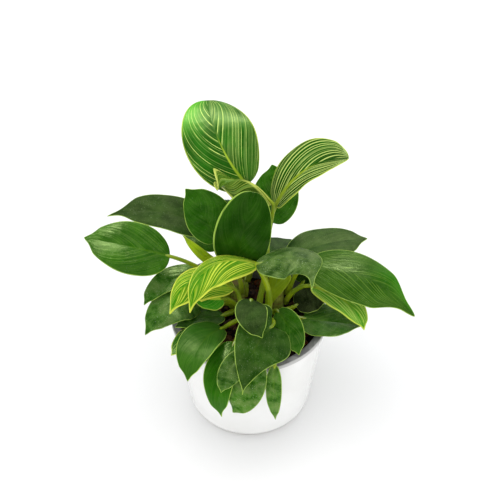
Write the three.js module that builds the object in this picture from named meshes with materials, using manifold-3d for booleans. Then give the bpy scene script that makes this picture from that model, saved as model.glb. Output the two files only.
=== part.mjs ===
// Philodendron Birkin in a 12 cm nursery pot that stands in a white glazed cover pot.
// Millimetres, +Z up, origin at the centre of the cover pot's flat base. The show side looks along -Y.
// Each leaf is one solid: a tapered petiole joined to a thin curved blade. Three short stems stand in
// holes in the soil, and the petioles start on a ring round them, a small clearance away.
import * as THREE from "three";
import { mergeVertices } from "three/addons/utils/BufferGeometryUtils.js";
import Module from "manifold-3d";

const wasm = await Module();
wasm.setup();

// Cover pot: a thin glazed tapered cup with a rounded foot.
const COVER_RIM_RADIUS = 58.6;
const COVER_RIM_HEIGHT = 85.4;
const COVER_FOOT_RADIUS = 43;
const COVER_FOOT_ROUNDING = 7;
const COVER_FOOT_FLARE = 5.6;
const COVER_FOOT_STEPS = 4;
const COVER_WALL = 2.4;
const COVER_FLOOR = 4;
const COVER_EDGE_ROUNDING = 0.8;

// Nursery pot: a thin grey cup whose rolled lip overhangs the cover pot's rim.
const LIP_RADIUS = 60;
const LIP_TOP = 89;
const LIP_DEPTH = 3.2;
const LIP_ROUNDING = 0.6;
const NURSERY_WALL = 1.3;
const NURSERY_TOP_RADIUS = 55.4;
const NURSERY_FLOOR_RADIUS = 41.5;
const NURSERY_FLOOR_HEIGHT = 4.4;
const NURSERY_FLOOR = 2;
const DRAIN_COUNT = 5;
const DRAIN_RADIUS = 3.5;
const DRAIN_CIRCLE = 26;
const DRAIN_SEGMENTS = 10;

// Potting soil: coarse bark mix that fills the nursery pot to a finger's breadth below the lip.
const SOIL_EDGE_HEIGHT = 78;
const SOIL_CROWN = 3;
const SOIL_RELIEF = 0.9;
const LUMPS_ALONG_X = 0.41;
const LUMPS_ALONG_Y = 0.37;
const FINE_LUMPS_X = 0.83;
const FINE_LUMPS_Y = 0.71;
const FINE_LUMPS_SHARE = 0.6;
const SOIL_RINGS = 6;

const CLEARANCE = 0.3;
const POT_SEGMENTS = 40;

// Stems: short upright crowns, their leaves set closely round them.
const STEM_RADIUS = 5.6;
const STEM_SEGMENTS = 10;
const STEM_BURIED = 24;
const STEM_HEIGHT = 30;
const STEM_SCAR_SPACING = 7.5;
const STEM_SCAR_DEPTH = 0.5;
const STEM_SWELLING_SHARE = 0.6;
const STEM_CROWN_DEPTH = 1;
const STEMS = {
  right: { x: 21, y: 12, top: 112 },
  back: { x: -9, y: 17, top: 108 },
  front: { x: 4, y: -12, top: 104 },
};

// Blade: strips across it from margin to margin, rows along it from base to tip.
const BLADE_THICKNESS = 0.7;
const BLADE_STRIPS = [-1, -0.55, 0, 0.55, 1];
const BLADE_ROWS = [0, 0.03, 0.12, 0.26, 0.42, 0.58, 0.74, 0.87, 0.95, 1];
const OUTLINE_BASE_POWER = 0.5;
const OUTLINE_TIP_POWER = 0.75;
const TAIL_PINCH = 0.4;
const TAIL_START = 0.84;
const TAIL_FULL = 0.75;
const LOBE_REACH = 0.07;
const LOBE_END = 0.4;
const LOBE_ROUNDING = 1.5;
const LOBE_FULL_WIDTH = 0.25;
const TWIST_POWER = 6;
const TIP_HALF_WIDTH = 0.35;
const BASE_HALF_WIDTH = 1.4;
const NORMAL_STEP = 0.01;

// Petiole: a round stalk that runs on along the first part of the midrib.
const PETIOLE_SIDES = 5;
const PETIOLE_STEPS = 7;
const PETIOLE_FOOT_RADIUS = 2.2;
const PETIOLE_NECK_RADIUS = 1.4;
const PETIOLE_LEAN = 0.3;
const PETIOLE_RISE = 0.4;
const PETIOLE_REACH = 0.3;
const PETIOLE_NECK_SHARE = 0.85;
const MIDRIB_END_RADIUS = 0.8;
const MIDRIB_REACH = 0.16;

const ROUGHNESS = { leaf: 0.35, stem: 0.6, soil: 0.95, nurseryPot: 0.5, coverPot: 0.15 };
const COLOURS = {
  old: 0x1f4a1c,
  middle: 0x2c6323,
  striped: 0x5f9a35,
  young: 0x9dbb45,
  sheath: 0xb4c850,
  stem: 0x8c9a4a,
  soil: 0x3a2a1e,
  nurseryPot: 0x4a4d52,
  coverPot: 0xf4f3f0,
};

// Each leaf, in millimetres and degrees: the stem it grows from; its foot's azimuth about that stem and
// its height; the blade's base, middle and tip; where the upper face looks (azimuth from +X, elevation);
// width; fold of the halves about the midrib (positive closes them upwards); bow of the margins (share of
// the half width, positive curls them back). Optional: round and blunt (outline powers towards the base
// and the tip, low is round), tail and pinch (where the drip tip starts and how much narrower it is),
// skew (how much wider the half on the positive side is), twist about the midrib at the tip, lobe (how
// far the base lobes reach back), petiole (foot radius), rise and reach (how far the petiole holds its
// first and last direction). A sheath is the papery scale that wrapped a young leaf.
const LEAVES = [
  { name: "leaf_01", stem: "back", foot: [20, 104], base: [-2, 47, 176], middle: [-20.5, 51, 207.5],
    tip: [-31, 84, 226], face: [-80, 26], width: 54, fold: 8, bow: 0.12, kind: "striped", blunt: 0.42,
    pinch: 0, skew: 0.03 },
  { name: "leaf_02", stem: "right", foot: [165, 108], base: [20, 36, 165], middle: [41, 36, 197],
    tip: [70, 28, 212], face: [210, 55], width: 38, fold: 12, bow: 0.1, kind: "striped", blunt: 0.62,
    skew: -0.25, pinch: 0.1 },
  { name: "leaf_03", stem: "right", foot: [200, 110], base: [17, 23, 176], middle: [-3, 27, 194],
    tip: [-23, 17, 192], face: [-90, 75], width: 38, fold: -55, bow: 0, kind: "young", twist: -180,
    blunt: 0.4, reach: 5 },
  { name: "leaf_04", stem: "right", foot: [125, 100], base: [17, 47, 140.5], middle: [20, 57, 163],
    tip: [17, 66, 181], face: [-95, 30], width: 36, fold: 8, bow: 0.1, kind: "old", rise: 26 },
  { name: "leaf_05", stem: "back", foot: [-70, 102], base: [-9, 13, 124], middle: [-5, 8, 159],
    tip: [4, 22, 187], face: [-95, 25], width: 42, fold: 8, bow: 0.15, kind: "old", blunt: 0.42,
    pinch: 0, round: 0.35 },
  { name: "leaf_06", stem: "back", foot: [144, 104], base: [-24, 17, 146], middle: [-33, 26, 163],
    tip: [-47, 36, 180], face: [-105, 40], width: 36, fold: 8, bow: 0.1, kind: "old", skew: 0.12 },
  { name: "leaf_07", stem: "back", foot: [110, 101], base: [-32, 36, 142], middle: [-70, 42, 154.5],
    tip: [-108, 42, 150], face: [-100, 74], width: 33, fold: 8, bow: 0.1, kind: "old", skew: 0.06,
    pinch: 0.65, tail: 0.7, round: 0.38 },
  { name: "leaf_08", stem: "back", foot: [210, 94], base: [-59, 8, 139], middle: [-89, 4, 152],
    tip: [-120, 8, 156.5], face: [-100, 62], width: 42, fold: 8, bow: 0.15, kind: "middle",
    skew: -0.02, lobe: 0.02 },
  { name: "leaf_09", stem: "front", foot: [68, 100], base: [7, 2, 137], middle: [-27, -20, 153],
    tip: [-42, -40, 127], face: [-100, 68], width: 33, fold: -42, bow: 0, kind: "striped",
    petiole: 2.7 },
  { name: "leaf_10", stem: "front", foot: [0, 100], base: [5, -14, 150], middle: [36, -20, 160],
    tip: [43, -40, 149], face: [-60, 90], width: 36, fold: -6, bow: 0.12, kind: "middle", pinch: 0.75,
    tail: 0.62, skew: 0.1, reach: 1.5, rise: 25, petiole: 2.8 },
  { name: "leaf_11", stem: "front", foot: [180, 100], base: [-11, -8, 121],
    middle: [-39.5, -19.5, 140], tip: [-57, -34, 120], face: [-110, 62], width: 34, fold: -34, bow: 0,
    kind: "striped", reach: 6 },
  { name: "leaf_12", stem: "right", foot: [8, 97], base: [46, 8, 130], middle: [86, -6, 130],
    tip: [120, -28, 112], face: [-75, 60], width: 39, fold: -6, bow: 0.1, kind: "middle", skew: 0.08,
    blunt: 0.6, pinch: 0.6, tail: 0.66, round: 0.4 },
  { name: "leaf_13", stem: "right", foot: [35, 94], base: [32, 32, 119], middle: [59, 42, 123],
    tip: [92, 46, 125], face: [-90, 80], width: 38, fold: 6, bow: 0.1, kind: "old", skew: 0.1 },
  { name: "leaf_14", stem: "right", foot: [62, 88], base: [18, 31, 112], middle: [25, 47, 113],
    tip: [34, 66, 108], face: [-90, 75], width: 39, fold: 6, bow: 0.1, kind: "old" },
  { name: "leaf_15", stem: "right", foot: [-22, 94], base: [47, 6, 111], middle: [73, -12, 110],
    tip: [84, -30, 100], face: [-60, 65], width: 22, fold: -8, bow: 0.05, kind: "striped",
    skew: -0.1 },
  { name: "leaf_16", stem: "right", foot: [-45, 84], base: [36, 4, 93], middle: [48, 7, 98],
    tip: [60, 8, 97], face: [-90, 80], width: 26, fold: 6, bow: 0.1, kind: "old" },
  { name: "leaf_17", stem: "right", foot: [-98, 84], base: [41, -6, 89], middle: [62, -14, 93],
    tip: [83, -22, 96.5], face: [-80, 92], width: 39, fold: 6, bow: 0.05, kind: "middle" },
  { name: "leaf_18", stem: "front", foot: [20, 88], base: [21, -10.5, 101], middle: [30, -31.5, 101],
    tip: [36, -46.5, 91], face: [-95, 40], width: 21, fold: 6, bow: 0.1, kind: "middle" },
  { name: "leaf_19", stem: "front", foot: [-40, 94], base: [16, -38, 112], middle: [2, -62, 108],
    tip: [-5, -80, 86], face: [-85, 35], width: 44, fold: 8, bow: 0.15, kind: "middle", lobe: 0.25,
    pinch: 0.3, blunt: 1.25, round: 0.28, skew: -0.1 },
  { name: "leaf_20", stem: "front", foot: [-115, 92], base: [-4, -50, 99], middle: [-15, -66, 95],
    tip: [-20, -77, 85], face: [-100, 30], width: 18, fold: 6, bow: 0.1, kind: "middle", skew: -0.2 },
  { name: "leaf_21", stem: "front", foot: [-80, 88], base: [5, -54, 95], middle: [-2, -72, 79],
    tip: [-12, -78, 65], face: [-98, 30], width: 26, fold: 6, bow: 0.1, kind: "middle", skew: 0.1 },
  { name: "leaf_22", stem: "front", foot: [-52, 84], base: [18, -58, 92.5], middle: [17.5, -68, 73],
    tip: [19, -72, 50], face: [-100, 25], width: 12, fold: 6, bow: 0.1, kind: "middle" },
  { name: "leaf_23", stem: "front", foot: [-140, 85], base: [-11, -41, 98], middle: [-21, -67, 87],
    tip: [-20, -77, 59], face: [-110, 30], width: 24, fold: 6, bow: 0.1, kind: "middle", skew: 0.08,
    pinch: 0.55 },
  { name: "leaf_24", stem: "front", foot: [205, 94], base: [-20, -29, 101], middle: [-35, -56, 110],
    tip: [-43, -76, 95.5], face: [-115, 45], width: 29, fold: 6, bow: 0.1, kind: "middle", skew: 0.2 },
  { name: "leaf_25", stem: "back", foot: [270, 83], base: [-38, -16, 88], middle: [-46, -31.5, 91.5],
    tip: [-57, -46, 90], face: [-120, 55], width: 20, fold: 6, bow: 0.1, kind: "striped", rise: 4 },
  { name: "leaf_26", stem: "back", foot: [190, 85], base: [-38, 12, 119.5], middle: [-62, 3, 116.7],
    tip: [-78, -14, 110], face: [-110, 60], width: 19, fold: 6, bow: 0.1, kind: "old", reach: 6,
    rise: 8, skew: 0.2 },
  { name: "leaf_27", stem: "back", foot: [236, 86], base: [-36, -1.5, 99.5],
    middle: [-58, -10.5, 107.7], tip: [-77, -29, 94], face: [-110, 65], width: 32, fold: 6, bow: 0.1,
    kind: "old", skew: -0.08 },
  { name: "leaf_28", stem: "front", foot: [150, 86], base: [-20, -8, 111], middle: [-31, -12, 114],
    tip: [-42, -16, 118], face: [-90, 75], width: 20, fold: 6, bow: 0.1, kind: "striped" },
  { name: "leaf_29", stem: "back", foot: [304, 84], base: [-20, -6, 92], middle: [-37, -14, 96],
    tip: [-55, -26, 99], face: [-100, 90], width: 22, fold: 6, bow: 0.1, kind: "old", rise: 4 },
  { name: "leaf_30", stem: "front", foot: [-90, 98], base: [1, -30, 130], middle: [2, -46, 130],
    tip: [9, -58, 120], face: [-85, 55], width: 23, fold: 6, bow: 0.1, kind: "old", reach: 3 },
  { name: "leaf_31", stem: "back", foot: [70, 100], base: [-4, 52, 128], middle: [-6, 82, 132],
    tip: [-4, 108, 112], face: [90, 75], width: 42, fold: 6, bow: 0.1, kind: "old" },
  { name: "leaf_32", stem: "right", foot: [100, 84], base: [30, 40, 104], middle: [38, 64, 102],
    tip: [46, 90, 86], face: [70, 75], width: 40, fold: 6, bow: 0.1, kind: "old" },
  { name: "leaf_33", stem: "back", foot: [84, 90], base: [-24, 44, 116], middle: [-36, 66, 120],
    tip: [-48, 88, 100], face: [110, 75], width: 40, fold: 6, bow: 0.1, kind: "middle" },
  { name: "leaf_34", stem: "back", foot: [150, 84], base: [-28, 32, 94], middle: [-40, 46, 94],
    tip: [-50, 60, 82], face: [130, 75], width: 30, fold: 6, bow: 0.1, kind: "old" },
  { name: "leaf_35", stem: "right", foot: [30, 84], base: [42, 28, 95], middle: [56, 47, 97],
    tip: [72, 66, 86], face: [50, 75], width: 36, fold: 6, bow: 0.1, kind: "old" },
  { name: "leaf_36", stem: "back", foot: [45, 86], base: [-6, 50, 98], middle: [-8, 74, 100],
    tip: [-12, 100, 88], face: [95, 75], width: 38, fold: 6, bow: 0.1, kind: "old" },
  { name: "sheath_back", stem: "back", foot: [185, 102], base: [-23, 18, 121],
    middle: [-35, 12.5, 137], tip: [-49, 14, 154], face: [-100, 40], width: 9, fold: 25, bow: 0,
    kind: "sheath", petiole: 1.8, rise: 5 },
  { name: "sheath_right", stem: "right", foot: [-128, 82], base: [12, 0, 90], middle: [18, -1, 115],
    tip: [28, 0, 136], face: [-118, 20], width: 16, fold: -18, bow: 0, kind: "sheath", round: 1.1,
    blunt: 0.45 },
];

const UP = new THREE.Vector3(0, 0, 1);
const toRadians = THREE.MathUtils.degToRad;

function direction([azimuth, elevation]) {
  const a = toRadians(azimuth);
  const e = toRadians(elevation);
  return new THREE.Vector3(Math.cos(e) * Math.cos(a), Math.cos(e) * Math.sin(a), Math.sin(e));
}

// Quadratic midrib that passes through the middle point half way along.
function midribOf(leaf) {
  const base = new THREE.Vector3(...leaf.base);
  const tip = new THREE.Vector3(...leaf.tip);
  const bend = new THREE.Vector3(...leaf.middle).multiplyScalar(2);
  bend.addScaledVector(base, -0.5).addScaledVector(tip, -0.5);
  return new THREE.QuadraticBezierCurve3(base, bend, tip);
}

// Half width of the blade at the share u of its length, for a blade of unit width.
function outline(leaf, u) {
  const basePower = leaf.round ?? OUTLINE_BASE_POWER;
  const tipPower = leaf.blunt ?? OUTLINE_TIP_POWER;
  const widest = basePower / (basePower + tipPower);
  const peak = widest ** basePower * (1 - widest) ** tipPower;
  const tail = leaf.tail ?? TAIL_START;
  const tailFull = THREE.MathUtils.lerp(tail, 1, TAIL_FULL);
  const pinch = 1 - (leaf.pinch ?? TAIL_PINCH) * THREE.MathUtils.smoothstep(u, tail, tailFull);
  return (0.5 * pinch * u ** basePower * (1 - u) ** tipPower) / peak;
}

// Point of the blade's middle surface: u runs from base to tip, v from one margin (-1) to the other (1).
function bladePoint(leaf, midrib, u, v) {
  const along = midrib.getTangent(u);
  const side = new THREE.Vector3().crossVectors(along, direction(leaf.face)).normalize();
  side.applyAxisAngle(along, toRadians(leaf.twist ?? 0) * u ** TWIST_POWER);
  const normal = new THREE.Vector3().crossVectors(side, along);
  const endWidth = THREE.MathUtils.lerp(BASE_HALF_WIDTH, TIP_HALF_WIDTH, u);
  const evenHalf = Math.max(leaf.width * outline(leaf, u), endWidth);
  const half = evenHalf * (1 + (leaf.skew ?? 0) * Math.sign(v));
  const reach = Math.abs(v);
  const fold = toRadians(leaf.fold);
  const lobeWidth = Math.min(1, evenHalf / (leaf.width * LOBE_FULL_WIDTH));
  const lobeShare = Math.max(0, 1 - u / LOBE_END) ** 2 * lobeWidth;
  const lobe = (leaf.lobe ?? LOBE_REACH) * leaf.width * lobeShare * reach ** LOBE_ROUNDING;
  return midrib
    .getPoint(u)
    .addScaledVector(side, half * v * Math.cos(fold))
    .addScaledVector(normal, half * (reach * Math.sin(fold) - leaf.bow * reach ** 2))
    .addScaledVector(along, -lobe);
}

// Unit normal of the blade's upper face.
function bladeNormal(leaf, midrib, u, v) {
  const u0 = Math.max(0, u - NORMAL_STEP);
  const u1 = Math.min(1, u + NORMAL_STEP);
  const v0 = Math.max(-1, v - NORMAL_STEP);
  const v1 = Math.min(1, v + NORMAL_STEP);
  const du = bladePoint(leaf, midrib, u1, v).sub(bladePoint(leaf, midrib, u0, v));
  const dv = bladePoint(leaf, midrib, u, v1).sub(bladePoint(leaf, midrib, u, v0));
  return dv.cross(du).normalize();
}

function geometryOf(points, faces) {
  const geometry = new THREE.BufferGeometry();
  const coordinates = points.flatMap((p) => [p.x, p.y, p.z]);
  geometry.setAttribute("position", new THREE.Float32BufferAttribute(coordinates, 3));
  geometry.setIndex(faces);
  return geometry;
}

// A thin closed plate: one grid of points above the middle surface, one below, joined round the edge.
function bladeGeometry(leaf, midrib) {
  const points = [];
  const columns = BLADE_STRIPS.length;
  const rows = BLADE_ROWS.length;
  for (const offset of [BLADE_THICKNESS / 2, -BLADE_THICKNESS / 2]) {
    for (const u of BLADE_ROWS) {
      for (const v of BLADE_STRIPS) {
        const normal = bladeNormal(leaf, midrib, u, v);
        points.push(bladePoint(leaf, midrib, u, v).addScaledVector(normal, offset));
      }
    }
  }
  const faces = [];
  const under = rows * columns;
  const at = (row, column) => row * columns + column;
  for (let row = 0; row < rows - 1; row++) {
    for (let column = 0; column < columns - 1; column++) {
      const a = at(row, column);
      const b = at(row, column + 1);
      const c = at(row + 1, column + 1);
      const d = at(row + 1, column);
      faces.push(a, b, c, a, c, d);
      faces.push(under + a, under + c, under + b, under + a, under + d, under + c);
    }
  }
  const rim = [];
  for (let column = 0; column < columns - 1; column++) rim.push(at(0, column));
  for (let row = 0; row < rows - 1; row++) rim.push(at(row, columns - 1));
  for (let column = columns - 1; column > 0; column--) rim.push(at(rows - 1, column));
  for (let row = rows - 1; row > 0; row--) rim.push(at(row, 0));
  rim.forEach((a, i) => {
    const b = rim[(i + 1) % rim.length];
    faces.push(a, under + a, under + b, a, under + b, b);
  });
  return geometryOf(points, faces);
}

// A closed tapered tube along a curve, with a flat cap on each end.
function taperedTube(curve, radiusAt, steps, sides) {
  const frames = curve.computeFrenetFrames(steps, false);
  const points = [];
  for (let i = 0; i <= steps; i++) {
    const centre = curve.getPointAt(i / steps);
    for (let k = 0; k < sides; k++) {
      const a = (2 * Math.PI * k) / sides;
      points.push(
        centre
          .clone()
          .addScaledVector(frames.normals[i], radiusAt(i / steps) * Math.cos(a))
          .addScaledVector(frames.binormals[i], radiusAt(i / steps) * Math.sin(a)),
      );
    }
  }
  const faces = [];
  for (let i = 0; i < steps; i++) {
    for (let k = 0; k < sides; k++) {
      const a = i * sides + k;
      const b = i * sides + ((k + 1) % sides);
      faces.push(a, b, b + sides, a, b + sides, a + sides);
    }
  }
  for (let k = 1; k < sides - 1; k++) {
    faces.push(0, k + 1, k);
    faces.push(steps * sides, steps * sides + k, steps * sides + k + 1);
  }
  return geometryOf(points, faces);
}

function solidOf(geometry) {
  const bare = new THREE.BufferGeometry();
  bare.setAttribute("position", geometry.getAttribute("position"));
  bare.setIndex(geometry.index);
  const merged = mergeVertices(bare, 1e-4);
  return new wasm.Manifold(
    new wasm.Mesh({
      numProp: 3,
      vertProperties: Float32Array.from(merged.attributes.position.array),
      triVerts: Uint32Array.from(merged.index.array),
    }),
  );
}

function geometryOfSolid(solid) {
  const mesh = solid.getMesh();
  const geometry = new THREE.BufferGeometry();
  geometry.setAttribute("position", new THREE.BufferAttribute(mesh.vertProperties, 3));
  geometry.setIndex(new THREE.BufferAttribute(mesh.triVerts, 1));
  return geometry;
}

function footRadius(leaf) {
  return leaf.petiole ?? PETIOLE_FOOT_RADIUS;
}

// The petiole leaves its stem upright, then swings over to run into the blade's midrib.
function petioleCurve(leaf, midrib) {
  const stem = STEMS[leaf.stem];
  const base = midrib.getPoint(0);
  const along = midrib.getTangent(0);
  const [azimuth, height] = leaf.foot;
  const away = direction([azimuth, 0]);
  const ring = STEM_RADIUS + footRadius(leaf) + CLEARANCE;
  const foot = new THREE.Vector3(stem.x, stem.y, height).addScaledVector(away, ring);
  const span = foot.distanceTo(base);
  const rise = leaf.rise ?? PETIOLE_RISE * span;
  const reach = leaf.reach ?? PETIOLE_REACH * span;
  return new THREE.CubicBezierCurve3(
    foot,
    foot.clone().addScaledVector(away, PETIOLE_LEAN * rise).addScaledVector(UP, rise),
    base.clone().addScaledVector(along, -reach),
    base,
  );
}

function leafGeometry(leaf) {
  const midrib = midribOf(leaf);
  const path = new THREE.CurvePath();
  path.add(petioleCurve(leaf, midrib));
  const ribEnd = midrib.getPoint(MIDRIB_REACH);
  path.add(new THREE.LineCurve3(midrib.getPoint(0), ribEnd));
  const radiusAt = (t) =>
    t < PETIOLE_NECK_SHARE
      ? THREE.MathUtils.mapLinear(t, 0, PETIOLE_NECK_SHARE, footRadius(leaf), PETIOLE_NECK_RADIUS)
      : THREE.MathUtils.mapLinear(t, PETIOLE_NECK_SHARE, 1, PETIOLE_NECK_RADIUS, MIDRIB_END_RADIUS);
  const petiole = solidOf(taperedTube(path, radiusAt, PETIOLE_STEPS, PETIOLE_SIDES));
  return geometryOfSolid(petiole.add(solidOf(bladeGeometry(leaf, midrib))));
}

function latheSolid(profile, segments) {
  const points = profile.map(([r, z]) => new THREE.Vector2(r, z));
  return solidOf(new THREE.LatheGeometry(points, segments).rotateX(Math.PI / 2));
}

// A crown with a slight swelling at every leaf scar, rounded at the top and sunk in the soil.
function stemGeometry(stem) {
  const bottom = stem.top - STEM_HEIGHT - STEM_BURIED;
  const profile = [[0, bottom]];
  const rings = Math.round(STEM_HEIGHT / STEM_SCAR_SPACING);
  profile.push([STEM_RADIUS - STEM_SCAR_DEPTH, bottom]);
  for (let i = 0; i < rings; i++) {
    const z = stem.top - STEM_HEIGHT + i * STEM_SCAR_SPACING;
    profile.push([STEM_RADIUS - STEM_SCAR_DEPTH, z]);
    profile.push([STEM_RADIUS, z + STEM_SWELLING_SHARE * STEM_SCAR_SPACING]);
  }
  profile.push([STEM_SWELLING_SHARE * STEM_RADIUS, stem.top - STEM_CROWN_DEPTH]);
  profile.push([0, stem.top]);
  const solid = latheSolid(profile, STEM_SEGMENTS);
  return geometryOfSolid(solid.translate([stem.x, stem.y, 0]));
}

// Wall line of the nursery pot: inner radius at a height.
function nurseryInnerRadius(z) {
  const share = (z - NURSERY_FLOOR_HEIGHT) / (LIP_TOP - NURSERY_FLOOR_HEIGHT);
  return THREE.MathUtils.lerp(NURSERY_FLOOR_RADIUS, NURSERY_TOP_RADIUS, share) - NURSERY_WALL;
}

function nurseryPotGeometry() {
  const floorTop = NURSERY_FLOOR_HEIGHT + NURSERY_FLOOR;
  const lipUnder = LIP_TOP - LIP_DEPTH;
  const profile = [
    [0, NURSERY_FLOOR_HEIGHT],
    [NURSERY_FLOOR_RADIUS, NURSERY_FLOOR_HEIGHT],
    [nurseryInnerRadius(lipUnder) + NURSERY_WALL, lipUnder],
    [LIP_RADIUS - LIP_ROUNDING, lipUnder],
    [LIP_RADIUS, lipUnder + LIP_ROUNDING],
    [LIP_RADIUS, LIP_TOP - LIP_ROUNDING],
    [LIP_RADIUS - LIP_ROUNDING, LIP_TOP],
    [nurseryInnerRadius(LIP_TOP) + LIP_ROUNDING, LIP_TOP],
    [nurseryInnerRadius(LIP_TOP), LIP_TOP - LIP_ROUNDING],
    [nurseryInnerRadius(floorTop), floorTop],
    [0, floorTop],
  ];
  let solid = latheSolid(profile, POT_SEGMENTS);
  for (let i = 0; i < DRAIN_COUNT; i++) {
    const a = (2 * Math.PI * i) / DRAIN_COUNT;
    const drill = new THREE.CylinderGeometry(DRAIN_RADIUS, DRAIN_RADIUS, 4 * NURSERY_FLOOR, DRAIN_SEGMENTS);
    drill.rotateX(Math.PI / 2);
    drill.translate(DRAIN_CIRCLE * Math.cos(a), DRAIN_CIRCLE * Math.sin(a), floorTop);
    solid = solid.subtract(solidOf(drill));
  }
  return geometryOfSolid(solid);
}

function coverPotGeometry() {
  const profile = [
    [0, 0],
    [COVER_FOOT_RADIUS, 0],
  ];
  for (let i = 1; i <= COVER_FOOT_STEPS; i++) {
    const a = (Math.PI / 2) * (i / COVER_FOOT_STEPS);
    const r = COVER_FOOT_RADIUS + COVER_FOOT_FLARE * Math.sin(a);
    profile.push([r, COVER_FOOT_ROUNDING * (1 - Math.cos(a))]);
  }
  const inner = COVER_RIM_RADIUS - COVER_WALL;
  profile.push([COVER_RIM_RADIUS, COVER_RIM_HEIGHT - COVER_EDGE_ROUNDING]);
  profile.push([COVER_RIM_RADIUS - COVER_EDGE_ROUNDING, COVER_RIM_HEIGHT]);
  profile.push([inner + COVER_EDGE_ROUNDING, COVER_RIM_HEIGHT]);
  profile.push([inner, COVER_RIM_HEIGHT - COVER_EDGE_ROUNDING]);
  profile.push([COVER_FOOT_RADIUS + COVER_FOOT_FLARE - COVER_WALL, COVER_FOOT_ROUNDING]);
  profile.push([COVER_FOOT_RADIUS, COVER_FLOOR]);
  profile.push([0, COVER_FLOOR]);
  return geometryOfSolid(latheSolid(profile, POT_SEGMENTS));
}

// Height of the soil: a low mound with the lumps of a bark mix.
function soilHeight(x, y) {
  const share = Math.hypot(x, y) / NURSERY_TOP_RADIUS;
  const coarse = Math.sin(LUMPS_ALONG_X * x) * Math.cos(LUMPS_ALONG_Y * y);
  const lumps = coarse + FINE_LUMPS_SHARE * Math.sin(FINE_LUMPS_X * x - FINE_LUMPS_Y * y);
  return SOIL_EDGE_HEIGHT + SOIL_CROWN * (1 - share ** 2) + SOIL_RELIEF * lumps * (1 - share ** 4);
}

// A plug of soil with a lumpy top and a plain hole for each stem.
function soilGeometry() {
  const bottom = NURSERY_FLOOR_HEIGHT + NURSERY_FLOOR + CLEARANCE;
  const edge = nurseryInnerRadius(SOIL_EDGE_HEIGHT) - CLEARANCE;
  const points = [new THREE.Vector3(0, 0, soilHeight(0, 0))];
  for (let ring = 1; ring <= SOIL_RINGS; ring++) {
    for (let k = 0; k < POT_SEGMENTS; k++) {
      const a = (2 * Math.PI * k) / POT_SEGMENTS;
      const r = (edge * ring) / SOIL_RINGS;
      const x = r * Math.cos(a);
      const y = r * Math.sin(a);
      points.push(new THREE.Vector3(x, y, soilHeight(x, y)));
    }
  }
  const floorEdge = nurseryInnerRadius(bottom) - CLEARANCE;
  for (let k = 0; k < POT_SEGMENTS; k++) {
    const a = (2 * Math.PI * k) / POT_SEGMENTS;
    points.push(new THREE.Vector3(floorEdge * Math.cos(a), floorEdge * Math.sin(a), bottom));
  }
  const floorCentre = points.push(new THREE.Vector3(0, 0, bottom)) - 1;
  const faces = [];
  const at = (ring, k) => 1 + (ring - 1) * POT_SEGMENTS + (k % POT_SEGMENTS);
  for (let k = 0; k < POT_SEGMENTS; k++) {
    faces.push(0, at(1, k), at(1, k + 1));
    for (let ring = 1; ring <= SOIL_RINGS; ring++) {
      faces.push(at(ring, k), at(ring + 1, k), at(ring + 1, k + 1));
      faces.push(at(ring, k), at(ring + 1, k + 1), at(ring, k + 1));
    }
    faces.push(floorCentre, at(SOIL_RINGS + 1, k + 1), at(SOIL_RINGS + 1, k));
  }
  let solid = solidOf(geometryOf(points, faces));
  for (const stem of Object.values(STEMS)) {
    const radius = STEM_RADIUS + CLEARANCE;
    const depth = SOIL_EDGE_HEIGHT - (stem.top - STEM_HEIGHT - STEM_BURIED) + CLEARANCE;
    const drill = new THREE.CylinderGeometry(radius, radius, 2 * depth, STEM_SEGMENTS);
    drill.rotateX(Math.PI / 2);
    drill.translate(stem.x, stem.y, SOIL_EDGE_HEIGHT);
    solid = solid.subtract(solidOf(drill));
  }
  return geometryOfSolid(solid);
}

const plant = new THREE.Group();

function addMesh(name, geometry, color, roughness) {
  const mesh = new THREE.Mesh(geometry, new THREE.MeshStandardMaterial({ color, roughness, metalness: 0 }));
  mesh.name = name;
  plant.add(mesh);
}

for (const leaf of LEAVES) addMesh(leaf.name, leafGeometry(leaf), COLOURS[leaf.kind], ROUGHNESS.leaf);
for (const [name, stem] of Object.entries(STEMS)) {
  addMesh("stem_" + name, stemGeometry(stem), COLOURS.stem, ROUGHNESS.stem);
}
addMesh("potting_soil", soilGeometry(), COLOURS.soil, ROUGHNESS.soil);
addMesh("nursery_pot", nurseryPotGeometry(), COLOURS.nurseryPot, ROUGHNESS.nurseryPot);
addMesh("cover_pot", coverPotGeometry(), COLOURS.coverPot, ROUGHNESS.coverPot);

export default plant;
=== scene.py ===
"""Looks of the potted philodendron birkin: fine leaves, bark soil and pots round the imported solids.

Lengths are in millimetres, as in the part's source; a mesh is turned into metres where it is made.
Object coordinates in materials, the lights and the camera are in metres.
"""
import math
import random

import bmesh
import bpy
import numpy as np
from mathutils import Matrix, Vector, noise


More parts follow.
